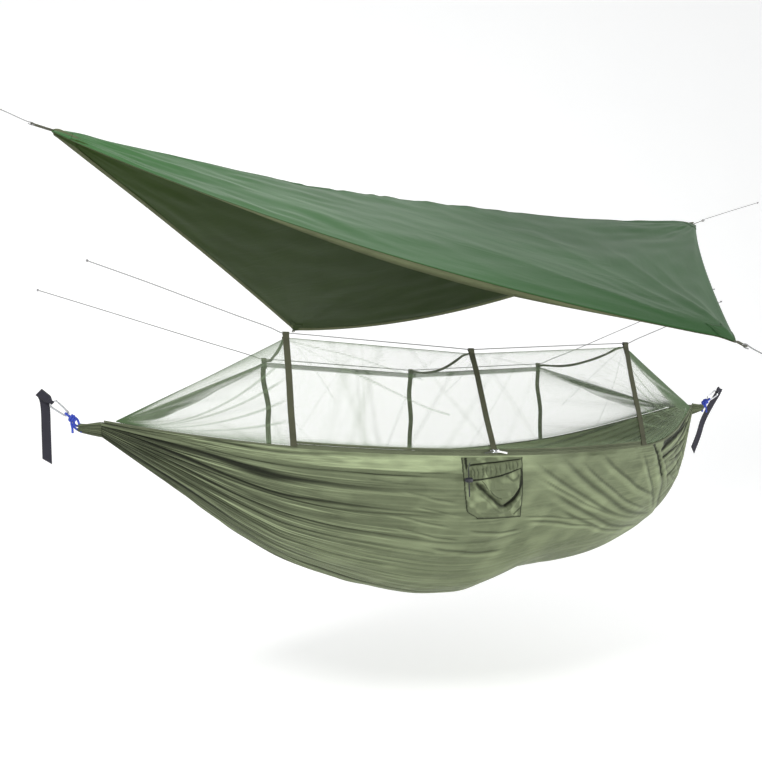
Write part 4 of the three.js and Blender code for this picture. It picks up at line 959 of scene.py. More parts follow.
def metal_material(name, tint):
    """Polished metal with fine scratches, a little duller where hands and ropes rub it."""
    look = Finish(name, tint, 0.24, 1.0)
    scratches = look.noise(look.solid, 900.0, 4.0, Distortion=1.5)
    soiling = look.soiling(90.0)
    look.put("Base Color", look.mix(soiling, look.shade(1.0), look.shade(0.72)))
    rough = look.math("ADD", look.remap(scratches, 0.3, 0.7, 0.16, 0.3), look.times(soiling, 0.2))
    look.put("Roughness", rough)
    look.bump(scratches, 0.00004, 0.6)


def plastic_material(name, tint):
    """Moulded plastic with a fine grain."""
    look = Finish(name, tint, 0.42, Specular_IOR_Level=0.45)
    grain = look.noise(look.solid, 1800.0, 2.0)
    soiling = look.soiling(120.0)
    look.put("Base Color", look.mix(soiling, look.shade(1.0), look.shade(2.2)))
    look.put("Roughness", look.remap(soiling, 0, 1, 0.36, 0.55))
    look.bump(grain, 0.00005, 0.7)


def floor_material(name, tint):
    """Matt paper with a faint glow of its own, so that it stays as pale as the wall behind it."""
    look = Finish(name, tint, 0.75)
    mottle = look.noise(look.solid, 1.5, 2.0)
    look.put("Base Color", look.mix(mottle, look.shade(0.985), look.shade(1.0)))
    look.put("Emission Color", (1.0, 1.0, 1.0, 1.0))
    look.put("Emission Strength", 0.26)


def make_materials():
    for build in (build_weave, build_crinkle, build_drawn_pleats, build_strands, build_soiling):
        build()
    scene = bpy.context.scene
    cloth, cords, hardware = scene.hammock_cloth, scene.hammock_cords, scene.hammock_hardware
    cloth_material("bed_cloth", cloth.bed_colour, 0.52, 0.0009)
    cloth_material("hem", cloth.hem_colour, 0.7, 0.0003, 90.0)
    sheet_material("rain_sheet", cloth.sheet_top_colour, 0.42)
    # The sheet's underside, in painted shade.
    sheet_material("rain_sheet_underside", cloth.sheet_underside_shade_colour, 0.5)
    cloth_material("sheet_hem", cloth.sheet_hem_colour, 0.6, 0.0003, 60.0)
    net_material("net", cloth.net_colour, cloth.net_density)
    webbing_material("webbing", cords.webbing_colour)
    webbing_material("strap", cords.strap_colour, 420.0)
    rope_material("rope", cords.rope_colour, 90.0, 4.0, 0.0006)
    rope_material("cord", cords.cord_colour, 220.0, 4.0, 0.0003)
    rope_material("drawcord", cords.drawcord_colour, 320.0, 4.0, 0.0002)
    rope_material("thread", hardware.thread_colour, 900.0, 2.0, 0.00005)
    metal_material("steel", hardware.metal_colour)
    plastic_material("plastic", hardware.plastic_colour)
    plastic_material("white_tab", (0.72, 0.72, 0.69))
    plastic_material("dark_tab", (0.03, 0.034, 0.022))
    rope_material("coil", hardware.coil_colour, 700.0, 0.0, 0.0006)
    floor_material("floor", scene.hammock_stage.floor_colour)


def dress(obj, material, body=None, replaces=()):
    """Gives a piece its material, body and the nodes that it stands for."""
    obj.data.materials.clear()
    obj.data.materials.append(bpy.data.materials[f"{material}_finish"])
    if body:
        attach(obj, body)
    if replaces:
        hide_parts(*replaces)
    return obj


def finish_node(name, material):
    """Gives a CAD node that stays in view its finish."""
    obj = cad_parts[name]
    for slot in obj.material_slots:
        slot.material = bpy.data.materials[f"{material}_finish"]


# ---------------------------------------------------------------- stage and camera
CAMERA_PLACE = Vector((0.41225, -1.93581, -0.16101))
CAMERA_YAW = math.radians(17.2425)
CAMERA_PITCH = math.radians(5.6273)
CAMERA_ROLL = math.radians(-1.2901)
FOCAL_PIXELS = 613.92
IMAGE_PIXELS = 762
SENSOR_WIDTH = 36.0
BACKDROP_WIDTH, BACKDROP_HEIGHT, BACKDROP_BEND, FLOOR_FRONT = 60.0, 16.0, 1.6, -9.0
BACKDROP_MIDDLE = 1.2
BEND_STEPS = 12
# Each light's name, place, target, size and power.
LIGHTS = (
    ("Key", (-1.1, -2.1, 2.8), (0.8, 0, -0.1), 1.4, 92),
    ("Fill", (3.9, -3.2, 0.0), (1.7, 0, -0.3), 2.0, 77),
    ("Sky", (1.4, 1.6, 3.6), (1.2, 0, 0), 3.0, 10),
)
SOFT_LIGHT = {"Color": (0.98, 0.99, 1.0, 1.0), "Strength": 0.62}
PLAIN_WALL = {"Color": (1.0, 1.0, 1.0, 1.0), "Strength": 1.0}


def make_camera():
    camera = bpy.data.cameras.new("Camera")
    camera.sensor_fit = "HORIZONTAL"
    camera.sensor_width = SENSOR_WIDTH
    camera.lens = FOCAL_PIXELS / IMAGE_PIXELS * SENSOR_WIDTH
    camera.clip_start = 0.05
    obj = bpy.data.objects.new("Camera", camera)
    bpy.context.scene.collection.objects.link(obj)
    forward = Vector((
        math.sin(CAMERA_YAW) * math.cos(CAMERA_PITCH),
        math.cos(CAMERA_YAW) * math.cos(CAMERA_PITCH),
        math.sin(CAMERA_PITCH),
    ))
    level = Vector((math.cos(CAMERA_YAW), -math.sin(CAMERA_YAW), 0))
    upright = level.cross(forward)
    right = level * math.cos(CAMERA_ROLL) + upright * math.sin(CAMERA_ROLL)
    up = upright * math.cos(CAMERA_ROLL) - level * math.sin(CAMERA_ROLL)
    turned = Matrix((right, up, -forward)).transposed().to_4x4()
    obj.matrix_world = Matrix.Translation(CAMERA_PLACE) @ turned
    bpy.context.scene.camera = obj


def area_light(name, place, target, size, power):
    light = bpy.data.lights.new(name, "AREA")
    light.shape = "DISK"
    light.size = size
    light.energy = power
    obj = bpy.data.objects.new(name, light)
    bpy.context.scene.collection.objects.link(obj)
    obj.location = place
    obj.rotation_euler = (Vector(target) - Vector(place)).to_track_quat("-Z", "Y").to_euler()


class HAMMOCK_OT_stage(bpy.types.Operator):
    """Make the materials, the pale floor with its backdrop, the soft lights and the camera"""

    bl_idname = "hammock.stage"
    bl_label = "Stage"

    def execute(self, context):
        make_materials()
        make_camera()
        settings = context.scene.hammock_stage
        floor, far = settings.floor_height, settings.backdrop_distance - BACKDROP_BEND
        profile = [(FLOOR_FRONT, floor)]
        for k in range(BEND_STEPS + 1):
            angle = k / BEND_STEPS * math.pi / 2
            rise = BACKDROP_BEND * (1 - math.cos(angle))
            profile.append((far + BACKDROP_BEND * math.sin(angle), floor + rise))
        profile.append((settings.backdrop_distance, floor + BACKDROP_HEIGHT))
        sides = (BACKDROP_MIDDLE - BACKDROP_WIDTH / 2, BACKDROP_MIDDLE + BACKDROP_WIDTH / 2)
        points = np.array([[(x, y, z) for x in sides] for y, z in profile])
        dress(surface("floor", points), "floor")

        world = bpy.data.worlds.new("Studio")
        world.use_nodes = True
        nodes = Nodes(world.node_tree)
        soft = world.node_tree.nodes["Background"]
        for key, value in SOFT_LIGHT.items():
            nodes.feed(soft.inputs[key], value)
        plain = nodes.add("Background", PLAIN_WALL)
        seen = nodes.add("LightPath").outputs["Is Camera Ray"]
        both = nodes.add("MixShader", {0: seen, 1: soft.outputs[0], 2: plain.outputs[0]})
        nodes.feed(world.node_tree.nodes["World Output"].inputs["Surface"], both.outputs[0])
        context.scene.world = world
        context.scene.view_settings.view_transform = "Standard"
        for light in LIGHTS:
            area_light(*light)
        return {"FINISHED"}


# ---------------------------------------------------------------- cords
KNOT_RADIUS = 0.0042


def stopper_knot(name, tip, out, cord_radius):
    """A small overhand knot: a trefoil of the cord, pulled tight past the cord's end."""
    out = out.normalized()
    side = out.orthogonal().normalized()
    up = out.cross(side)
    centre = tip + out * (KNOT_RADIUS + CLEARANCE)
    reach = KNOT_RADIUS - cord_radius
    line = []
    for k in range(37):
        angle = 2 * math.pi * k / 36
        swing = math.sin(3 * angle) * 0.55
        wide = (math.sin(angle) + 2 * math.sin(2 * angle)) / 3
        high = (math.cos(angle) - 2 * math.cos(2 * angle)) / 3
        line.append(centre + side * (wide * reach) + up * (high * reach) + out * (swing * reach))
    return tubes(name, [tube_parts(line, cord_radius * 0.95, 8, False)])


class HAMMOCK_OT_cords(bpy.types.Operator):
    """Make the two ridge lines, the three guylines and the knots at their ends"""

    bl_idname = "hammock.cords"
    bl_label = "Ridge lines and guylines"

    def execute(self, context):
        for name, route in (("front", FRONT_RIDGE_LINE), ("back", BACK_RIDGE_LINE)):
            line = spline(route, 3)
            cord = tubes(f"ridge_cord_{name}", [tube_parts(line, RIDGE_LINE_DIAMETER / 2, 8)])
            dress(cord, "cord", "ridge", [f"ridge_line_{name}"])
            for end, tip, inner in (("left", line[0], line[1]), ("right", line[-1], line[-2])):
                knot = stopper_knot(f"ridge_stopper_{name}_{end}", tip, tip - inner, RIDGE_LINE_DIAMETER / 2)
                dress(knot, "cord", "ridge", [f"ridge_knot_{name}_{end}"])
        for name, route in (("left", LEFT_GUYLINE), ("right", RIGHT_GUYLINE), ("near", NEAR_GUYLINE)):
            line = spline(route, 5)
            cord = tubes(f"guy_cord_{name}", [tube_parts(line, GUY_DIAMETER / 2, 8)])
            dress(cord, "cord", "ridge", [f"guyline_{name}"])
            knot = stopper_knot(f"guy_stopper_{name}", line[-1], line[-1] - line[-2], GUY_DIAMETER / 2)
            dress(knot, "cord", "ridge", [f"guyline_knot_{name}"])
        return {"FINISHED"}


# ---------------------------------------------------------------- bed
def half_girth(share):
    """Length of the cloth from a rim to the keel, at shares along the bed."""
    rims = np.array([rim_at(-1, s) for s in share])
    depth = rims[:, 2] - gather_line_z(rims[:, 0]) + keel_drop(rims[:, 0])
    return 1.18 * np.hypot(rims[:, 1], depth)


def pleat_valleys(share, turn, end, reach, number, seed):
    """Narrow valleys and crests that run out of a gathered end and fade along the bed, from 0 to 1; the
    valleys dent the cloth and set its painted shade, the crests its painted highlight.
    """
    away = np.abs(share - end)
    table = np.random.RandomState(seed).uniform(0, 1, (4, 401))
    warp = 0.9 * smooth_noise(turn * 5, away * 4, seed) + 0.3 * smooth_noise(turn * 17, away * 10, seed + 1)
    phase = turn * number + warp
    nearest = np.round(phase)
    which = nearest.astype(int) % 401
    fade = reach * (0.62 + 0.9 * table[1][which] ** 1.4)
    width = 0.21 + 0.21 * table[2][which]
    depth = 0.40 + 0.60 * table[0][which]
    valleys = depth * np.exp(-((np.abs(phase - nearest) / width) ** 1.3)) * bell(away, fade)
    between = np.floor(phase).astype(int) % 401
    crest = bell(phase - np.floor(phase) - 0.5, 0.22) * table[3][between]
    return valleys, crest * bell(away, 1.1 * reach)


def left_pleats(share, turn, number):
    """Small and bold pleats together, as they run out of the left gather."""
    small, small_crests = pleat_valleys(share, turn, 0.0, 0.36, number, 3)
    bold, bold_crests = pleat_valleys(share, turn, 0.0, 0.33, 0.4 * number, 23)
    return np.maximum(0.8 * small, bold), np.maximum(0.7 * small_crests, bold_crests)


def fold_path(x, y, path, width):
    """A soft line along a smooth path, from 0 to 1."""
    line = np.array([tuple(p) for p in spline([(*p, 0) for p in path], 5)])[:, :2]
    nearest = np.full(np.shape(x), 1e9)
    for a, b in zip(line, line[1:]):
        span = b - a
        t = np.clip(((x - a[0]) * span[0] + (y - a[1]) * span[1]) / (span @ span), 0, 1)
        nearest = np.minimum(nearest, np.hypot(x - a[0] - t * span[0], y - a[1] - t * span[1]))
    return bell(nearest, width)


# Soft folds as shares and turns at their two ends, their width and their height.
DRAG_FOLDS = (
    ((0.560, -0.97), (0.800, -0.46), 0.012, 0.0060), ((0.600, -0.98), (0.830, -0.40), 0.016, 0.0075),
    ((0.640, -0.96), (0.800, -0.55), 0.010, 0.0050), ((0.588, -0.83), (0.815, -0.33), 0.014, 0.0055),
    ((0.675, -0.98), (0.815, -0.62), 0.014, 0.0060), ((0.575, -0.90), (0.720, -0.62), 0.008, 0.0035),
    ((0.700, -0.93), (0.790, -0.70), 0.009, 0.0040), ((0.610, -0.72), (0.770, -0.40), 0.012, 0.0040),
    ((0.795, -0.99), (0.845, -0.30), 0.020, 0.0070), ((0.762, -0.99), (0.825, -0.45), 0.012, 0.0050),
    ((0.815, -0.97), (0.852, -0.62), 0.010, 0.0065), ((0.560, -0.70), (0.700, -0.56), 0.008, 0.0035),
    ((0.550, -0.735), (0.690, -0.62), 0.006, 0.0030), ((0.470, -0.70), (0.560, -0.66), 0.007, 0.0028),
    ((0.380, -0.86), (0.460, -0.82), 0.005, 0.0030), ((0.400, -0.80), (0.468, -0.77), 0.004, 0.0026),
    ((0.350, -0.76), (0.455, -0.715), 0.005, 0.0030), ((0.370, -0.69), (0.470, -0.65), 0.006, 0.0028),
    ((0.330, -0.90), (0.400, -0.885), 0.004, 0.0026), ((0.420, -0.60), (0.540, -0.55), 0.010, 0.0030),
    ((0.860, -0.90), (0.930, -0.40), 0.014, 0.0035), ((0.880, -0.97), (0.950, -0.50), 0.010, 0.0030),
    ((0.835, -0.80), (0.905, -0.50), 0.009, 0.0030), ((0.700, 0.98), (0.930, 0.60), 0.012, 0.0050),
    ((0.600, 0.96), (0.850, 0.60), 0.010, 0.0045), ((0.650, 0.93), (0.900, 0.45), 0.012, 0.0050),
    ((0.200, 0.96), (0.500, 0.80), 0.012, 0.0040), ((0.300, 0.90), (0.620, 0.70), 0.014, 0.0040),
)
FOLD_SCALE = np.array([2.1, 0.62])
# Tucks where the cloth doubles back near the right end: their paths, width, depth and the darkness of their
# painted shade.
TUCKS = (
    (((0.832, -0.985), (0.880, -0.975), (0.940, -0.965)), 0.0140, 0.004, 0.60),
    (((0.798, -0.999), (0.808, -0.95), (0.818, -0.87), (0.824, -0.79)), 0.0055, 0.007, 0.95),
    (((0.822, -0.955), (0.850, -0.965), (0.895, -0.955), (0.945, -0.93)), 0.0060, 0.006, 0.90),
    (((0.826, -0.905), (0.862, -0.900), (0.910, -0.865), (0.960, -0.80)), 0.0045, 0.006, 0.75),
    (((0.840, -0.760), (0.868, -0.735), (0.898, -0.740)), 0.0040, 0.005, 0.80),
    (((0.850, -0.850), (0.880, -0.820), (0.930, -0.740)), 0.0035, 0.004, 0.55),
    (((0.872, -0.700), (0.905, -0.640), (0.950, -0.520)), 0.0040, 0.004, 0.45),
)


def fold_relief(share, turn):
    """The drag folds' height, and the painted shadow in a fold's hollow and the painted highlight on its
    crest at each point, from 0 to 1.
    """
    place = np.stack([share, turn], axis=-1) * FOLD_SCALE
    relief, shade, pale = (np.zeros(share.shape) for _ in range(3))
    for start, end, width, height in DRAG_FOLDS:
        a, b = np.array(start) * FOLD_SCALE, np.array(end) * FOLD_SCALE
        along = (b - a) / np.linalg.norm(b - a)
        reach = np.linalg.norm(b - a)
        t = ((place - a) @ along) / reach
        aside = (place - a) @ np.array([-along[1], along[0]])
        aside = aside + 0.25 * width * smooth_noise(t * 5, aside * 9, 70)
        taper = bell(np.maximum(np.abs(t - 0.5) - 0.32, 0), 0.14)
        crest = bell(aside, width)
        hollow = bell(aside + 1.3 * width, 0.55 * width)
        relief += 0.36 * height * taper * (crest - 0.5 * hollow)
        # Painted shadow in the hollow beside each fold, and painted highlight on its crest.
        shade = np.maximum(shade, 0.38 * taper * hollow)
        pale = np.maximum(pale, taper * bell(aside, 0.6 * width))
    for path, width, depth, dark in TUCKS:
        tuck = fold_path(place[..., 0], place[..., 1], [tuple(np.array(p) * FOLD_SCALE) for p in path], width)
        relief -= depth * tuck
        # Each tuck's painted shade.
        shade = np.maximum(shade, dark * tuck)
    return relief, shade, pale


def bed_relief(share, turn):
    """How far the bed's cloth stands out of its smooth shape, the painted shade of its creases, fold hollows
    and seam tuck, and the painted highlight on its crests and along the front rim's strip, with pale patches
    at random.
    """
    number = bpy.context.scene.hammock_cloth.pleats
    s, t = crossed(share, turn)
    left, left_crests = left_pleats(s, t, number)
    fine = pleat_valleys(s, t, 0.0, 0.27, 2.4 * number, 17)[0] * smoothstep(0.0, 0.06, s)
    right, right_crests = pleat_valleys(s, t, 1.0, np.where(t > 0, 0.36, 0.125), number * 0.7, 8)
    valleys = np.maximum(left, right)
    room = np.minimum(0.95 * half_girth(share)[:, None] / number, 0.0092)
    relief = -room * np.maximum(valleys, 0.3 * fine)
    middle = smoothstep(0.03, 0.25, s) * smoothstep(0.97, 0.8, s)
    relief = relief + 0.007 * middle * smooth_noise(s * 9 + t * 2, t * 4, 5)
    relief = relief + 0.0022 * middle * smooth_noise(s * 30, t * 9 + s * 6, 6)
    folds, shade, pale = fold_relief(s, t)
    relief = relief + folds
    rim = np.exp(-(1 - np.abs(t)) / 0.07) * smoothstep(0.02, 0.15, s) * smoothstep(1.0, 0.85, s)
    puckers = smooth_noise(s * 150, t * 9, 7) * 0.0020 + smooth_noise(s * 70 + t * 22, t * 7, 9) * 0.0032
    relief = relief + puckers * rim
    tucked = bell(np.abs(t) - (1 - SIDE_PANEL_SHARE), 0.010) * smoothstep(0.50, 0.44, s)
    relief = relief - 0.0022 * tucked * middle
    # sewn: a painted shadow of the tuck along the seam, darker in places.
    sewn = 0.55 * tucked * (0.55 + 0.45 * smooth_noise(s * 14, t * 3, 11))
    # Painted shade: the pleats' valleys, the drag folds' hollows, the tucks and the seam's tuck.
    creased = np.maximum(np.maximum(valleys, 0.8 * fine), shade) + sewn
    free = 0.15 + 0.85 * smoothstep(1.0, 0.985, np.abs(t))
    # strip: a painted highlight on the front side panel, under the rim.
    strip = smoothstep(0.93, 0.95, -t) * smoothstep(0.05, 0.15, s) * smoothstep(0.64, 0.5, s)
    patches = 0.22 * np.clip(smooth_noise(s * 40 + t * 9, t * 13 - s * 11, 15), 0, 1) * middle
    crinkled = 0.75 + 0.25 * smooth_noise(s * 60 + t * 30, t * 60 - s * 30, 16)
    # crested: painted highlight on the pleats' crests, the rim strip and the drag folds' crests, with the
    # pale patches.
    crests = np.maximum(left_crests, 0.8 * right_crests)
    crested = np.clip(crests + 0.72 * strip * crinkled + patches + 0.26 * pale, 0, 1)
    return relief * free, np.clip(creased, 0, 1), crested


def bed_cloth(shares, turns):
    points = bed_grid(shares, turns)
    relief, creased, crested = bed_relief(np.array(shares), np.array(turns))
    return points - grid_normals(points) * relief[:, :, None], creased, crested


class HAMMOCK_OT_bed(bpy.types.Operator):
    """Make the bed's three cloth panels, the felled seams between them and the two hems"""

    bl_idname = "hammock.bed"
    bl_label = "Bed"

    def execute(self, context):
        shares = np.concatenate([np.linspace(0, 0.5, 131), np.linspace(0.5, 1, 121)[1:]])
        seam = 1 - SIDE_PANEL_SHARE
        panels = {
            "front": np.linspace(-1, -seam, 25),
            "centre": np.concatenate([np.linspace(-seam, 0, 251), np.linspace(0, seam, 141)[1:]]),
            "back": np.linspace(seam, 1, 17),
        }
        for name, turns in panels.items():
            points, creased, crested = bed_cloth(shares, turns)
            s, t = crossed(shares, turns)
            # drawn: how strongly the drawn pleats' painted shade and highlight show, most near the gathered
            # ends.
            drawn = 1.2 * np.exp(-((s / 0.28) ** 1.6)) + np.exp(-(1 - s) / 0.10)
            piece = surface(
                f"bed_cloth_{name}", points, fan=np.stack([s, t], axis=2), flip=True,
                values={"creased": creased, "crested": crested, "drawn": np.clip(drawn, 0, 1)},
            )
            dress(piece, "bed_cloth", "bed", [f"bed_{name}_panel"])
        for side, name in ((-1, "front"), (1, "back")):
            seen = shares[shares < 0.5] if side < 0 else shares
            sewn = [self.felled_seam(side * seam, f"bed_seam_{name}", seen), self.hem(side, name)]
        return {"FINISHED"}

    def felled_seam(self, turn, name, shares):
        """A flat seam: the cloth folded over itself and sewn down."""
        half = 0.0050
        points = bed_cloth(shares, [turn - 0.002, turn, turn + 0.002])[0]
        across = unit(points[:, 2] - points[:, 0])
        out = -grid_normals(points)[:, 1]
        profile = ((-1, 0.0004), (-0.85, 0.0013), (0, 0.0010), (0.85, 0.0013), (1, 0.0004))
        rows = np.stack([points[:, 1] + across * (half * k) + out * h for k, h in profile], axis=1)
        return dress(surface(name, rows, flip=True), "bed_cloth", "bed")

    def hem(self, side, name):
        """The rim's folded hem, puckered by its stitches, from one gathered end to the other."""
        shares = np.linspace(0.004, 0.996, 760)
        rim = np.array([rim_at(side, s) for s in shares])
        out = unit(np.cross(np.gradient(rim, axis=0), [0, 0, 1])) * -side
        wobble = 0.0005 * smooth_noise(shares * 210, 0.0, 12)[:, None] * out
        columns = []
        for k in range(13):
            angle = 2 * math.pi * k / 12
            pinch = 1 - 0.35 * (0.5 + 0.5 * smooth_noise(shares * 330, 0.0, 14)[:, None])
            high = HEM_HEIGHT / 2 * (0.94 + math.sin(angle))
            columns.append(rim + out * (HEM_HALF_WIDTH * math.cos(angle)) * pinch + wobble + [0, 0, high])
        piece = surface(f"hem_{name}", np.stack(columns, axis=1), flip=side < 0)
        close_ends(piece)
        return dress(piece, "hem", "bed", [f"rim_hem_{name}"])


# ---------------------------------------------------------------- gathered ends
class HAMMOCK_OT_gathers(bpy.types.Operator):
    """Make the pleated bunches of cloth at both ends of the bed"""

    bl_idname = "hammock.gathers"
    bl_label = "Gathered ends"

    def execute(self, context):
        for name, gather, way in (("left", LEFT_GATHER, 1), ("right", RIGHT_GATHER, -1)):
            dress(self.bunch(name, gather, way), "bed_cloth", "bed", [f"gather_{name}"])
        return {"FINISHED"}

    def bunch(self, name, gather, way):
        """Cloth pleated round its axis where the rope grips it, which opens into the bed's first section.

        The first open_share of its turns runs round the bed's section, the rest closes it over the top.
        """
        open_share = 0.74
        stations = np.concatenate([np.linspace(0, 0.35, 26), np.linspace(0.37, 1.0, 26)])
        k = np.linspace(0, 1, 301)
        below = k < open_share
        turn = np.where(below, -1 + 2 * k / open_share, 0)
        over = np.where(below, 0, (k - open_share) / (1 - open_share))
        angle = np.radians(np.where(below, lerp(145, 395, k / open_share), lerp(395, 505, over)))
        section = bed_grid([0.0 if way > 0 else 1.0], turn)[0]
        front, back = (np.array(rim_at(side, 0.0 if way > 0 else 1.0)) for side in (-1, 1))
        lid = lerp(back, front, over[:, None])
        lid[:, 2] -= 0.045 * over * (1 - over)
        mouth = np.where(below[:, None], section, lid)
        number = bpy.context.scene.hammock_cloth.pleats
        # valleys and crests also give the bunch painted shade in its pleats and painted highlight on their
        # crests and on the ridges over the top.
        valleys, crests = left_pleats(np.zeros_like(turn), turn, number)
        lid_valleys = np.exp(-((np.abs(over * 9 - np.round(over * 9)) / 0.2) ** 1.3)) * 0.8
        valleys = np.where(below, valleys, lid_valleys)
        crests = np.where(below, np.maximum(crests, 0.4), 0.9 - lid_valleys)
        rings, creases = [], []
        for t in stations:
            radius = 0.0118 + 0.0045 * t - 0.003 * math.exp(-t / 0.04)
            share = t**1.12
            ring = np.stack([angle * 0, radius * np.cos(angle), gather.z + radius * np.sin(angle)], axis=1)
            middle = lerp(ring, mouth, share)
            away = middle - np.array([0, 0, gather.z])
            away[:, 0] = 0
            depth = lerp(0.0024, 0.0030, t)
            middle = middle + unit(away) * (0.0006 - depth * valleys)[:, None]
            middle[:, 0] = gather.x + way * (t * GATHER_LENGTH - GATHER_RADIUS)
            middle[:, 0] += way * 0.002 * np.sin(angle * 7) * math.exp(-t / 0.02)
            rings.append(middle)
            creases.append(valleys * 0.8)
        tip = rings[0].copy()
        tip[:, 1:] = lerp(np.array([0, gather.z]), tip[:, 1:], 0.12)
        tip[:, 0] += way * 0.004
        rings.insert(0, tip)
        # The tip gets full painted shade.
        creases.insert(0, creases[0] * 0 + 1)
        points, creased = np.stack(rings, axis=0), np.stack(creases, axis=0)
        s, t = crossed(np.zeros(len(rings)), turn)
        return surface(
            f"bunch_{name}", points, fan=np.stack([s, t], axis=2), flip=way > 0,
            values={"creased": creased, "crested": np.clip(crests, 0, 1), "drawn": 0.65},
        )


# ---------------------------------------------------------------- net
NET_THICKNESS = 0.0004


def hang_between(piece):
    """Bakes a piece's place into its mesh. The piece hangs from the ridge lines and ends at the rim."""
    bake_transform(piece)


def wall_base(side):
    return (ZIP_TOP if side < 0 else HEM_HEIGHT + CLEARANCE) + CLEARANCE


WALL_TOP_Y = RIDGE_HALF_WIDTH - LEG_THICKNESS / 2 - NET_THICKNESS - 2 * CLEARANCE


def roof_z(x, across):
    return ridge_z(x) - ROOF_DROP + NET_THICKNESS + CLEARANCE - ROOF_SAG * (1 - across**2)


def net_fold(u, v, seed, count_of_folds):
    """Soft folds that run from edge to edge, and where they gather the net."""
    table = np.random.RandomState(seed).uniform(0, 1, (count_of_folds, 5))
    relief, gathered = np.zeros_like(u * v), np.zeros_like(u * v)
    for start, lean, width, height, weight in table:
        offset = u - (start + (lean - 0.5) * 0.5 * v)
        line = bell(offset, 0.004 + 0.010 * width)
        relief += (height - 0.3) * 0.006 * bell(offset, 0.02 + 0.03 * width)
        gathered += line * weight * 0.16
    return relief, gathered


def crease_line(x, y, start, end, width):
    """A soft line between two places, from 0 to 1, which tapers out at its ends."""
    a, b = np.array(start), np.array(end)
    reach = np.linalg.norm(b - a)
    along = (b - a) / reach
    t = ((x - a[0]) * along[0] + (y - a[1]) * along[1]) / reach
    aside = np.abs((y - a[1]) * along[0] - (x - a[0]) * along[1])
    return bell(aside, width) * bell(np.maximum(np.abs(t - 0.5) - 0.42, 0), 0.08)


# The front wall's longer creases, as paths in shares of its length and height, and how dark each one is.
FRONT_WALL_CREASES = (
    (((0.01, 0.97), (0.16, 0.86), (0.345, 0.68)), 0.45),
    (((0.02, 0.95), (0.13, 0.76), (0.23, 0.60)), 0.3),
    (((0.138, 0.73), (0.26, 0.54), (0.34, 0.40), (0.40, 0.33)), 0.55),
    (((0.03, 0.90), (0.08, 0.62), (0.11, 0.4)), 0.25),
    (((0.56, 0.95), (0.70, 0.80), (0.80, 0.62)), 0.25),
    (((0.97, 0.95), (0.86, 0.70), (0.74, 0.42)), 0.2),
    (((0.98, 0.90), (0.92, 0.55), (0.84, 0.20)), 0.2),
    (((0.50, 0.93), (0.46, 0.75), (0.40, 0.55)), 0.2),
)


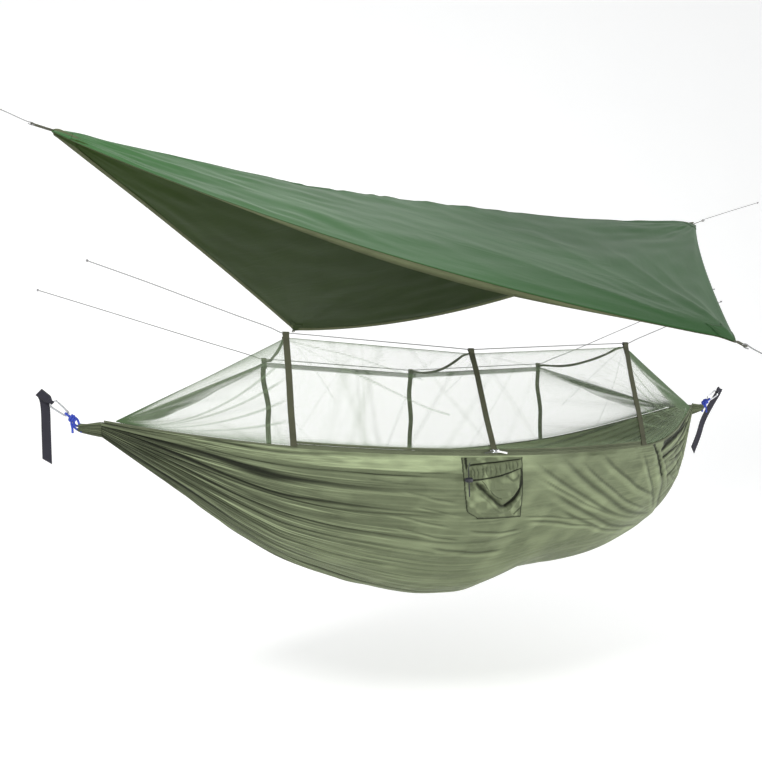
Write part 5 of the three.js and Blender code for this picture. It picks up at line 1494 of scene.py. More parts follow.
class HAMMOCK_OT_net(bpy.types.Operator):
    """Make the insect net's walls, roof and sloping ends"""

    bl_idname = "hammock.net"
    bl_label = "Insect net"

    def execute(self, context):
        for side, name in ((-1, "front"), (1, "back")):
            wall = self.wall(side, name)
            hang_between(wall)
        self.roof()
        for end, name in ((-1, "left"), (1, "right")):
            slope = self.slope(end, name)
            hang_between(slope)
        return {"FINISHED"}

    def cloth(self, name, points, gathered, body, node):
        piece = surface(name, points, values={"gathered": np.clip(gathered, 0, 1)})
        return dress(piece, "net", body, [node])

    def wall(self, side, name):
        rows, columns = 281, 81
        u, v = np.linspace(0, 1, rows), np.linspace(0, 1, columns)
        foot = np.array([RIM_ARC[side].at(k) for k in u]) + [0, 0, wall_base(side)]
        x = lerp(LEG_X[0], LEG_X[2], u)
        top = np.stack([x, np.full(rows, side * WALL_TOP_Y), ridge_z(x) - ROOF_DROP], axis=1)
        points = lerp(foot[:, None], top[:, None], v[None, :, None])
        uu, vv = crossed(u, v)
        relief, gathered = net_fold(uu, vv, 20 + side, 12)
        for path, weight in FRONT_WALL_CREASES if side < 0 else ():
            crease = fold_path(uu * 3.6, vv, [(x * 3.6, y) for x, y in path], 0.008)
            gathered, relief = np.maximum(gathered, weight * crease), relief + 0.003 * crease
        edge = np.minimum(1, np.minimum(np.minimum(uu, 1 - uu) * 14, np.minimum(vv, 1 - vv) * 10))
        points = points + grid_normals(points) * (relief * edge)[:, :, None]
        gathered = 0.8 * gathered + np.exp(-vv / 0.02) * 0.4
        gathered += np.exp(-(1 - vv) / 0.02) * 0.4 if side < 0 else 0.55 * smoothstep(0.935, 0.95, vv)
        return self.cloth(f"net_wall_{name}", points, gathered, None, f"net_{name}_wall")

    def roof(self):
        u, v = np.linspace(0, 1, 141), np.linspace(-1, 1, 61)
        x, across = crossed(lerp(LEG_X[0], LEG_X[2], u), v)
        half = RIDGE_HALF_WIDTH - LEG_THICKNESS / 2 - CLEARANCE
        slack = 0.012 * np.sin((x - LEG_X[0]) / LEG_SPACING * math.pi) ** 2 * (1 - across**2)
        points = np.stack([x, across * half, roof_z(x, across) - slack], axis=2)
        relief, gathered = net_fold(np.broadcast_to(u[:, None], x.shape), (across + 1) / 2, 31, 16)
        points[:, :, 2] += relief * (1 - across**2)
        gathered = gathered * 0.5 + np.exp(-(1 - np.abs(across)) / 0.02) * 0.6
        gathered += 0.45 * smoothstep(0.93, 0.97, across)
        return self.cloth("net_roof_cloth", points, gathered, "ridge", "net_roof")

    def slope(self, end, name):
        """From the last pair of legs to the gathered end: up one side, across and down the other."""
        i = 0 if end < 0 else 2
        gap = 0.0011
        far_share = 0.020 if end < 0 else 1 - 0.028
        near_share = (ARC_START if end < 0 else ARC_END) + end * gap / (BED_END - BED_START)
        rows, columns = 131, 171
        fold = 0.1
        us = np.linspace(0, 1, rows)
        vs = np.interp(np.linspace(0, 1, columns), [0, 0.4, 0.6, 1], [0, fold, 1 - fold, 1])
        points = np.zeros((rows, columns, 3))
        foot_lift, tip_lift = (Vector((0, 0, wall_base(1) + lift)) for lift in (0.0006, 0.004))
        for a, u in enumerate(us):
            base, top = {}, {}
            for side in (-1, 1):
                base[side] = rim_at(side, lerp(far_share, near_share, u)) + foot_lift
                tip = rim_at(side, far_share) + tip_lift
                hoop = Vector((LEG_X[i] + end * gap, side * WALL_TOP_Y, float(ridge_z(LEG_X[i])) - ROOF_DROP))
                top[side] = tip.lerp(hoop, u)
            for b, v in enumerate(vs):
                if v <= fold:
                    p = base[-1].lerp(top[-1], v / fold)
                elif v >= 1 - fold:
                    p = base[1].lerp(top[1], (1 - v) / fold)
                else:
                    share = (v - fold) / (1 - 2 * fold)
                    p = top[-1].lerp(top[1], share)
                    p.z -= ROOF_SAG * u * 4 * share * (1 - share)
                points[a, b] = p
        uu, vv = crossed(us, vs)
        phase = vv * 22 + 0.6 * smooth_noise(vv * 9, uu * 2, 40 + i)
        ridge = np.exp(-np.abs(phase - np.round(phase)) / 0.12)
        table = np.random.RandomState(50 + i).uniform(0, 1, 60)
        strength = 0.3 + 0.7 * table[np.round(phase).astype(int) % 60]
        relief = 0.006 * ridge * strength * uu**0.5 * smoothstep(1.0, 0.9, uu)
        relief = relief * smoothstep(0, 0.08, vv) * smoothstep(1, 0.92, vv)
        points = points - grid_normals(points) * relief[:, :, None]
        near_fold = np.exp(-np.abs(vv - fold) / 0.012) + np.exp(-np.abs(vv - 1 + fold) / 0.012)
        gathered = 0.34 * ridge * strength * (1.25 - uu) + 0.5 * near_fold
        gathered += 0.95 * np.exp(-uu / (0.11 if end < 0 else 0.17))
        gathered += 0.4 * np.exp(-vv / 0.01) + 0.4 * np.exp(-(1 - vv) / 0.01)
        front_height, back_height = vv / fold, (1 - vv) / fold
        streaks = 0.86 + 0.30 * smooth_noise(np.maximum(front_height, back_height) * 12, uu * 1.5, 45 + i)
        wide, narrow = (0.0, 0.24, 0.50, 0.76, 0.94), (0.0, 0.38, 0.66, 0.87, 0.97)
        dense = ((front_height, 0.3, narrow), (back_height, 1.0, narrow))
        if end > 0:
            dense = ((front_height, 1.0, wide), (back_height, 0.85, narrow))
        for height, weight, bounds in dense:
            bound = np.interp(uu, (0.03, 0.17, 0.36, 0.64, 1.0), bounds)
            into = np.clip((height - bound) / (1.001 - bound), 0, 1)
            band = smoothstep(-0.02, 0.02, height - bound) * (height <= 1.0) * lerp(0.55, 1.1, into**0.8)
            edge = bell(height - bound, 0.02)
            gathered = np.maximum(gathered, weight * np.maximum(band * streaks, 0.6 * edge))
            beyond = (height > 1.0) * np.exp(-(height - 1.0) / 0.45) * smoothstep(1.05, 0.5, uu)
            gathered = np.maximum(gathered, 0.8 * weight * beyond * streaks)
        for start, stop in ((0.18, 0.42), (0.06, 0.62), (0.30, 0.22), (0.10, 0.80)):
            line = crease_line(uu, front_height, (start, 0.02), (0.98, stop), 0.014)
            gathered = np.maximum(gathered, 0.42 * line)
        return self.cloth(f"net_slope_{name}", points, gathered, None, f"net_{name}_slope")


# ---------------------------------------------------------------- net's legs and cross tapes
LEG_EYE_RADIUS = 0.0037
LEG_STAND_OFF = 0.0044
# The crossed box of stitches at each end of a leg.
BOX_HALF_WIDTH, BOX_HEIGHT = 0.007, 0.014
# Sideways bends of each leg between its eye and its foot, as (share, shift along X, shift outwards).
LEG_BENDS = {
    ("front", 0): ((0.3, 0.0006, 0.0), (0.7, -0.0008, 0.0006)),
    ("front", 1): ((0.25, 0.0012, 0.0), (0.7, -0.0015, 0.001)),
    ("front", 2): ((0.3, -0.0010, 0.0), (0.75, 0.0015, 0.001)),
    ("back", 0): ((0.18, -0.006, 0.002), (0.55, 0.007, 0.004)),
    ("back", 1): ((0.25, -0.004, 0.002), (0.6, 0.005, 0.003)),
    ("back", 2): ((0.25, -0.005, 0.002), (0.6, 0.006, 0.003)),
}


class HAMMOCK_OT_webbing(bpy.types.Operator):
    """Make the six webbing legs, sewn round the ridge lines, and the three slack cross tapes"""

    bl_idname = "hammock.webbing"
    bl_label = "Net webbing"

    def execute(self, context):
        for i, place in enumerate(("left", "middle", "right")):
            for side, row in ((-1, "front"), (1, "back")):
                self.leg(side, i, f"{row}_{place}", LEG_BENDS[(row, i)])
            self.cross_tape(i, place)
        return {"FINISHED"}

    def leg(self, side, i, name, bends):
        ridge = Vector((LEG_X[i], side * RIDGE_HALF_WIDTH, float(ridge_z(LEG_X[i]))))
        centre = ridge - Vector((0, 0, LEG_EYE_RADIUS - RIDGE_LINE_DIAMETER / 2 - 0.001))
        rise = wall_base(side if i == 1 else 1) - 0.002
        foot = rim_foot(side, i) + Vector((0, side * LEG_STAND_OFF, rise))
        down = (foot - centre).normalized()
        outward = Vector((1, 0, 0)).cross(down).normalized() * -side
        outward = outward if outward.y * side > 0 else -outward
        half = LEG_THICKNESS / 2 + LAYER_GAP
        radius = LEG_EYE_RADIUS + LEG_THICKNESS / 2
        span = (foot - centre).length
        line = [centre + down * d - outward * half for d in (0.034, 0.028, 0.020, 0.013)]
        line += arc_line(centre, -outward, -down, radius, -58, 238, 12)
        line += [centre + down * 0.013 + outward * half]
        steps = 26
        for k in range(1, steps + 1):
            share = k / steps
            shift_x = shift_out = 0.0
            for at, x, out in bends:
                reach = math.exp(-(((share - at) / 0.14) ** 2))
                shift_x += x * reach
                shift_out += out * reach
            at = centre + down * lerp(0.013, span, share) + outward * (half + shift_out)
            line.append(at + Vector((shift_x, 0, 0)))
        piece = ribbon(f"leg_{name}", line, Vector((1, 0, 0)), LEG_WIDTH, LEG_THICKNESS)
        dress(piece, "webbing", None, [f"net_leg_{name}"])
        hang_between(piece)
        face = outward * (2 * half + LEG_THICKNESS / 2 + THREAD_LIFT)
        half_box = BOX_HALF_WIDTH
        corners = ((-half_box, 0), (half_box, 0), (half_box, BOX_HEIGHT), (-half_box, BOX_HEIGHT))
        rows = []
        for top in (0.016, span - 0.034):
            box = [
                centre + down * (top + d) + Vector((x, 0, 0)) + face
                for x, d in (*corners, corners[0])
            ]
            rows += [box, [box[0], box[2]], [box[1], box[3]]]
        thread = stitches(f"leg_stitches_{name}", rows, 0.0028)
        dress(thread, "thread")
        hang_between(thread)

    def cross_tape(self, i, place):
        """A tape that has rolled up lengthwise between its flat, sewn ends and hangs slack over the roof."""
        reach = RIDGE_HALF_WIDTH - LEG_THICKNESS / 2 - CLEARANCE
        line, curls, across = [], [], []
        for k in range(49):
            share = lerp(-1, 1, k / 48)
            curl = float(smoothstep(1.0, 0.8, np.array(abs(share))))
            lift = 0.0012 + 0.0055 * curl
            sway = 0.006 * math.sin(2.4 * share + i) * curl
            line.append(Vector((LEG_X[i] + sway, share * reach, float(roof_z(LEG_X[i], share)) + lift)))
            curls.append(0.8 * curl)
            turn = 1.2 * math.sin(1.9 * share + 2 * i) * curl
            across.append(Vector((math.cos(turn), 0, math.sin(turn))))
        piece = ribbon(f"tape_{place}", line, across, LEG_WIDTH, LEG_THICKNESS, curls)
        dress(piece, "webbing", "ridge", [f"cross_tape_{place}"])


# ---------------------------------------------------------------- zip
ZIP_SHARES = (0.004, 0.996)
# How far a pull tab's hinge stands from the rim's middle, and how much the tab bends out along its length.
TAB_HINGE = 0.006
TAB_BEND = 4.6


class HAMMOCK_OT_zip(bpy.types.Operator):
    """Make the zip on the front rim: two tapes, two coils, and two sliders with their pull tabs"""

    bl_idname = "hammock.zip"
    bl_label = "Zip"

    def execute(self, context):
        arc = RIM_ARC[-1]
        for way, name in ((-1, "lower"), (1, "upper")):
            shares = np.linspace(*ZIP_SHARES, 301)
            rim = np.array([arc.at(u) for u in shares])
            out = np.array([(arc.at(u) - arc.centre).normalized() for u in shares])
            out[:, 2] = 0
            out = unit(out)
            inner, outer = 0.00015, CHAIN_GAP / 2 + COIL_HEIGHT + TAPE_HEIGHT
            heights = [CHAIN_MIDDLE + way * h for h in np.linspace(inner, outer, 4)]
            columns = [rim + out * TAPE_HALF_THICKNESS + [0, 0, h] for h in heights]
            columns += [rim - out * TAPE_HALF_THICKNESS + [0, 0, h] for h in reversed(heights)]
            points = np.stack([*columns, columns[0]], axis=1)
            tape = surface(f"zip_tape_{name}", points)
            close_ends(tape)
            dress(tape, "hem", "bed", ["zip_upper_tape"] if way > 0 else [])
            self.coil(arc, way, name)
        for name, way in (("left", -1), ("right", 1)):
            slider = refined(f"zip_slider_{name}", f"slider_{name}_body", 0.0003)
            dress(slider, "steel", f"slider_{name}", [f"zip_slider_{name}"])
            pull = refined(f"zip_pull_{name}", f"slider_{name}_tab", 0.00035)
            hinge_x = arc.at(0.5).x + way * TAB_HINGE
            for vertex in pull.data.vertices:
                vertex.co.y -= TAB_BEND * (vertex.co.x - hinge_x) ** 2
            dress(pull, "white_tab" if way > 0 else "dark_tab", f"pull_{name}", [f"zip_pull_{name}"])
        return {"FINISHED"}

    def coil(self, arc, way, name):
        """One half of the chain: a wire wound round and round along the tape's edge."""
        pitch, points_per_turn, wire = 0.0021, 10, 0.00036
        turns = int(arc.radius * arc.angle / pitch)
        middle = CHAIN_MIDDLE + way * (CHAIN_GAP + COIL_HEIGHT) / 2
        tall, thick = COIL_HEIGHT / 2 - wire, 0.0011 - wire
        line = []
        for k in range(turns * points_per_turn):
            u = lerp(*ZIP_SHARES, k / (turns * points_per_turn))
            angle = 2 * math.pi * k / points_per_turn
            at = arc.at(u)
            out = at - arc.centre
            out.z = 0
            out.normalize()
            rise = Vector((0, 0, middle + tall * math.sin(angle)))
            line.append(at + out * (thick * math.cos(angle)) + rise)
        dress(tubes(f"zip_coil_{name}", [tube_parts(line, wire, 4, False)]), "coil", "bed")


# ---------------------------------------------------------------- suspension
CARABINER_REACH = 0.0546
WIRE_RADIUS = 0.0027
WIDE_HALF, NARROW_HALF = 0.0108, 0.0068
GATE_ENDS = (CARABINER_REACH - 0.034) / 2
HINGE = Vector((CARABINER_REACH - GATE_ENDS, lerp(WIDE_HALF, NARROW_HALF, 0.85), 0))
NOSE = Vector((GATE_ENDS, lerp(WIDE_HALF, NARROW_HALF, 0.1), 0))
EAR_RADIUS = WIRE_RADIUS + 0.0006
EARS_ACROSS = 2 * WIRE_RADIUS + 0.0012
SLOT_WIDTH = 0.0024
PIN_RADIUS = 0.0009
GATE_RADIUS, TONGUE_THICKNESS, BORE_RADIUS, SPRING_HOLE_RADIUS = 0.0024, 0.0018, 0.0016, 0.0006
GATE_START = EAR_RADIUS + CLEARANCE
GATE_LENGTH = (HINGE - NOSE).length - GATE_START - 0.0007
BORE_FROM, BORE_TO = GATE_START + 0.0016, GATE_START + GATE_LENGTH - 0.0032
STRAP_THICKNESS = 0.0016
STRAP_WIDTH = 0.024
STRAP_EYE_WIDTH = 0.010
EYE_INSIDE = WIRE_RADIUS + 0.0014
ROPE_RADIUS = 0.0031
BOW_OVERLAP = STRAP_THICKNESS + WIRE_RADIUS + CLEARANCE
GROOVE_AT = 0.17 * GATHER_LENGTH
# Each end's anchor, gather, way inwards, distance to the carabiner's far side, and its loose strap's path.
ENDS = {
    "left": (Vector((0, 0, 0)), LEFT_GATHER, 1, 0.050,
             ((0.008, 0, -0.007), (0.013, 0.0034, -0.020), (0.017, 0.0062, -0.045), (0.021, 0.0064, -0.110),
              (0.026, 0.0064, -0.196))),
    "right": (Vector((ANCHOR_SPAN, 0, ANCHOR_RISE)), RIGHT_GATHER, -1, 0.027,
              ((0.002, 0.001, 0.003), (-0.001, 0.005, -0.007), (-0.007, 0.009, -0.020),
               (-0.026, 0.015, -0.049), (-0.076, 0.020, -0.122), (-0.105, 0.020, -0.182),
               (-0.138, 0.020, -0.239))),
}


def end_axes(anchor, gather, way):
    """Directions along an end's strap, across it and out of its face."""
    along = (gather - anchor).normalized()
    across = Vector((0, 1, 0)).cross(along).normalized() * -way
    return along, across, along.cross(across).normalized()


class HAMMOCK_OT_carabiners(bpy.types.Operator):
    """Make the two carabiners, each with its forked hinge, gate, pin and return spring"""

    bl_idname = "hammock.carabiners"
    bl_label = "Carabiners"

    def execute(self, context):
        for name, (anchor, gather, way, reach, _) in ENDS.items():
            along, across, _ = end_axes(anchor, gather, way)
            place = frame_at(anchor + along * (reach - BOW_OVERLAP), along, across)
            pieces = {
                "carabiner": self.frame(), "carabiner_gate": self.gate(), "gate_spring": self.spring(),
                "gate_pin": self.pin(),
            }
            for part, piece in pieces.items():
                piece.data.transform(place)
                piece.name = f"{part}_{name}_solid"
                body = f"gate_{name}" if part in ("carabiner_gate", "gate_spring") else "bed"
                dress(piece, "steel", body, [f"{part}_{name}"])
        return {"FINISHED"}

    def frame(self):
        """The bent bar, with two ears round the gate's tongue."""
        points = [
            (HINGE.x, HINGE.y), (CARABINER_REACH - 0.004, NARROW_HALF * 0.9), (CARABINER_REACH, 0.0034),
            (CARABINER_REACH, -0.0034), (CARABINER_REACH - 0.004, -NARROW_HALF * 0.9),
            (CARABINER_REACH * 0.72, -lerp(WIDE_HALF, NARROW_HALF, 0.8)),
            (CARABINER_REACH * 0.4, -lerp(WIDE_HALF, NARROW_HALF, 0.3)), (0.005, -WIDE_HALF * 0.92),
            (0, -WIDE_HALF * 0.5), (0, WIDE_HALF * 0.5), (0.005, WIDE_HALF * 0.92),
            (NOSE.x - CLEARANCE, NOSE.y),
        ]
        path = spline([(x, y, 0) for x, y in points], 6)
        bar = drawn_wire("carabiner_bar", path, WIRE_RADIUS, 20)
        boolean(bar, cylinder("ears", EAR_RADIUS, EARS_ACROSS, 32, location=HINGE), "UNION")
        boolean(bar, cylinder("slot", EAR_RADIUS + CLEARANCE, SLOT_WIDTH, 32, location=HINGE), "DIFFERENCE")
        boolean(bar, cylinder("hole", PIN_RADIUS + 0.0002, 0.014, 20, location=HINGE), "DIFFERENCE")
        return rounded(bar, 0.00025, 45)

    def turned(self, obj):
        """From the gate's own axis, which starts at the pin, to the line from the hinge to the nose."""
        angle = math.atan2(NOSE.y - HINGE.y, NOSE.x - HINGE.x)
        obj.data.transform(Matrix.Translation(HINGE) @ Matrix.Rotation(angle, 4, "Z"))
        return obj

    def gate(self):
        """A barrel with a tongue for the slot, a bore for the spring, and a hole for the pin."""
        turn, middle = (0, math.pi / 2, 0), (BORE_FROM + BORE_TO) / 2
        barrel = cylinder("gate", GATE_RADIUS, GATE_LENGTH, 28, rotation=turn,
                          location=(GATE_START + GATE_LENGTH / 2, 0, 0))
        rounded(barrel, 0.0006, 60, 3)
        neck = primitive("cube", "neck", size=1, location=(GATE_START / 2 + 0.001, 0, 0),
                         scale=(GATE_START + 0.002, 0.0036, TONGUE_THICKNESS))
        boolean(barrel, neck, "UNION")
        boolean(barrel, cylinder("tongue", WIRE_RADIUS, TONGUE_THICKNESS, 28), "UNION")
        bore = cylinder("bore", BORE_RADIUS, BORE_TO - BORE_FROM, 20, location=(middle, 0, 0), rotation=turn)
        boolean(barrel, bore, "DIFFERENCE")
        side_hole = cylinder("hole", SPRING_HOLE_RADIUS, 2 * GATE_RADIUS, 16,
                             location=(middle, GATE_RADIUS, 0), rotation=(math.pi / 2, 0, 0))
        boolean(barrel, side_hole, "DIFFERENCE")
        boolean(barrel, cylinder("hole", PIN_RADIUS + 0.0003, 0.012, 16), "DIFFERENCE")
        smooth_by_angle(barrel, 35)
        return self.turned(barrel)

    def spring(self):
        """The return spring in the gate's bore: a wire wound in six turns."""
        wire, turns = 0.00025, 6
        room = BORE_TO - BORE_FROM - 2 * CLEARANCE
        ring = primitive("circle", "spring", vertices=8, radius=wire, location=(0.00105, 0, 0),
                         rotation=(math.pi / 2, 0, 0))
        screw = ring.modifiers.new("Turns", "SCREW")
        screw.angle, screw.screw_offset = 2 * math.pi * turns, room - 2 * wire
        screw.steps = screw.render_steps = 16 * turns
        finish_modifiers(ring)
        place = Matrix.Translation((BORE_FROM + CLEARANCE + wire, 0, 0))
        ring.data.transform(place @ Matrix.Rotation(math.pi / 2, 4, "Y"))
        close_ends(ring)
        return self.turned(ring)

    def pin(self):
        pin = cylinder("pin", PIN_RADIUS, 2 * WIRE_RADIUS + 0.002, 24, location=HINGE)
        return rounded(pin, 0.0003, 60, 3)


class HAMMOCK_OT_suspension(bpy.types.Operator):
    """Make the anchor straps with their sewn eyes and loose ends, and the knotted end ropes"""

    bl_idname = "hammock.suspension"
    bl_label = "Straps and end ropes"

    def execute(self, context):
        for name, (anchor, gather, way, reach, tail) in ENDS.items():
            axes = end_axes(anchor, gather, way)
            self.strap(name, anchor, axes, reach, tail)
            self.rope(name, anchor, axes, gather, way, reach)
        return {"FINISHED"}

    def strap(self, name, anchor, axes, reach, tail):
        """The webbing's eye round the carabiner, sewn down, and its loose end over the anchor."""
        along, across, face = axes
        outer = EYE_INSIDE + STRAP_THICKNESS / 2
        eye = reach - outer - STRAP_THICKNESS / 2
        layer = STRAP_THICKNESS / 2 + LAYER_GAP
        flat = eye - 1.8 * outer
        line = [anchor + along * (flat * k / 8) - face * layer for k in range(9)]
        line += arc_line(anchor + along * eye, along, face, outer, -120, 120, 16)
        line += [anchor + along * (flat * (1 - k / 8)) + face * layer for k in range(9)]
        loop = ribbon(f"strap_{name}_eye", line, across, STRAP_WIDTH, STRAP_THICKNESS)
        self.narrow(loop, anchor, along, across, flat, eye)
        path = spline([anchor + Vector(p) for p in tail], 6)
        tangents = [(b - a).normalized() for a, b in zip(path, path[1:])]
        tangents.append(tangents[-1])
        facing = [tangent.cross(Vector((0, 1, 0))).normalized() for tangent in tangents]
        loose = ribbon(f"strap_{name}_tail", path, facing, STRAP_WIDTH, STRAP_THICKNESS)
        end, way, side = path[-1], tangents[-1], facing[-1]
        for vertex in loose.data.vertices:
            reach_down = (vertex.co - end).dot(way)
            if reach_down > -0.03:
                slant = 0.018 * (vertex.co - end).dot(side) / STRAP_WIDTH
                vertex.co += way * (slant * (1 + reach_down / 0.03))
        for piece in (loop, loose):
            dress(piece, "strap", "bed", [f"tree_strap_{name}"])
        low, high = 0.002, flat - 0.002
        left, right = -0.010, 0.010
        box = (((low, left), (low, right)), ((high, left), (high, right)),
               ((low, left), (high, left)), ((low, right), (high, right)))
        top = anchor + face * (2 * layer + THREAD_LIFT)
        rows = [[top + along * d + across * x for d, x in row] for row in box]
        dress(stitches(f"strap_{name}_stitches", rows, 0.003), "thread", "bed")

    def narrow(self, obj, anchor, along, across, flat, eye):
        """Folds the strap to its eye's width towards the carabiner."""
        for vertex in obj.data.vertices:
            d = (vertex.co - anchor).dot(along)
            share = float(smoothstep(flat - 0.006, eye - 0.002, np.array(d)))
            aside = (vertex.co - anchor).dot(across)
            vertex.co -= across * (aside * share * (1 - STRAP_EYE_WIDTH / STRAP_WIDTH))

    def rope(self, name, anchor, axes, gather, way, reach):
        """An eye over the narrow bow, a wrapped knot, two tails, and two strands to the groove's turns."""
        along, across, face = axes
        bow = anchor + along * (reach - BOW_OVERLAP + CARABINER_REACH)
        round_bow = WIRE_RADIUS + 3 * CLEARANCE + ROPE_RADIUS
        knot = bow + along * (round_bow + 0.0105)
        turn = arc_line(bow, -along, face, round_bow, -152, 152, 20)
        eye = [knot - face * 0.003, *turn, knot + face * 0.003]
        parts = [tube_parts(spline(eye, 3), ROPE_RADIUS, 14)]
        wraps = []
        for k in range(61):
            angle = 2 * math.pi * 2.3 * k / 60
            radius = 0.0072 + 0.0006 * math.sin(angle * 0.5)
            lean = 0.0014 * math.sin(angle)
            at = knot + along * (lerp(-0.0078, 0.0078, k / 60) + lean)
            wraps.append(at + across * (radius * math.cos(angle)) + face * (radius * math.sin(angle)))
        parts.append(tube_parts(wraps, ROPE_RADIUS, 12))
        bight = [
            knot + along * 0.006 - face * 0.003, knot + across * 0.0085 - along * 0.002 + face * 0.003,
            knot - along * 0.008 + face * 0.004, knot - across * 0.0085 + face * 0.003, knot + along * 0.006,
        ]
        parts.append(tube_parts(spline(bight, 6), ROPE_RADIUS * 0.95, 12))
        for tail_way, drop in ((-1, 0.034), (1, 0.042)):
            tail = (
                (0.004, 0, 0, 0), (0.010, 0.004, 0, -0.007),
                (0.008, 0.010 + 0.004 * tail_way, -0.004, -0.6 * drop),
                (0.006, 0.013 + 0.007 * tail_way, -0.005, -drop),
            )
            places = [knot + across * (a * tail_way) + Vector((way * x, y, z)) for a, x, y, z in tail]
            line = spline(places, 8)
            sizes = [ROPE_RADIUS * (0.92 + (0.16 if k > len(line) - 3 else 0)) for k in range(len(line))]
            parts.append(tube_parts(line, sizes, 12))
        end_x = gather.x - way * GATHER_RADIUS
        turn_radius = 0.0062
        for up in (-1, 1):
            strand = [
                knot + along * 0.004 + face * (0.002 * up),
                Vector((end_x - way * 0.010, 0.001 * up, lerp(knot.z, gather.z, 0.75) + up * 0.0036)),
                Vector((end_x - way * 0.001, 0.0, gather.z + up * 0.0055)),
                Vector((end_x + way * 0.006, 0.0, gather.z + up * 0.010)),
            ]
            parts.append(tube_parts(spline(strand, 8), ROPE_RADIUS, 12))
        turns = []
        for k in range(73):
            angle = 2 * math.pi * 2.0 * k / 72 + math.pi / 2
            x = end_x + way * (GROOVE_AT + lerp(-0.0029, 0.0029, k / 72))
            turns.append(Vector((x, turn_radius * math.cos(angle), gather.z + turn_radius * math.sin(angle))))
        parts.append(tube_parts(turns, ROPE_RADIUS, 12))
        dress(tubes(f"rope_{name}", parts), "rope", "bed", [f"end_rope_{name}"])


# ---------------------------------------------------------------- pocket and cord lock
POCKET_START, POCKET_END = 1.140, 1.328
POCKET_TOP_DROP = 0.004
POCKET_HEIGHT = 0.176
# The slack pouch's folds, as paths in shares of its width and height: width, rise (below zero for a
# valley), both in metres, and how dark the fold's painted shade is.
POUCH_FOLDS = (
    (((0.20, 0.43), (0.40, 0.63), (0.60, 0.78), (0.80, 0.66), (0.94, 0.46), (0.99, 0.24)),
     0.0075, -0.0075, 0.55),
    (((0.99, 0.22), (0.98, 0.40), (0.84, 0.64), (0.66, 0.77)), 0.0050, -0.0040, 0.95),
    (((0.12, 0.44), (0.34, 0.66), (0.62, 0.88), (0.82, 0.74), (0.97, 0.58)), 0.0035, 0.0042, 0.0),
    (((0.28, 0.42), (0.42, 0.57), (0.58, 0.66), (0.74, 0.62), (0.88, 0.48)), 0.0045, 0.0045, 0.0),
    (((0.28, 0.385), (0.40, 0.55), (0.56, 0.655)), 0.0022, -0.0012, 0.45),
    (((0.84, 0.94), (0.92, 0.88), (0.99, 0.82)), 0.0030, -0.0025, 0.5),
    (((0.70, 0.30), (0.80, 0.38), (0.92, 0.30)), 0.0050, -0.0025, 0.35),
)


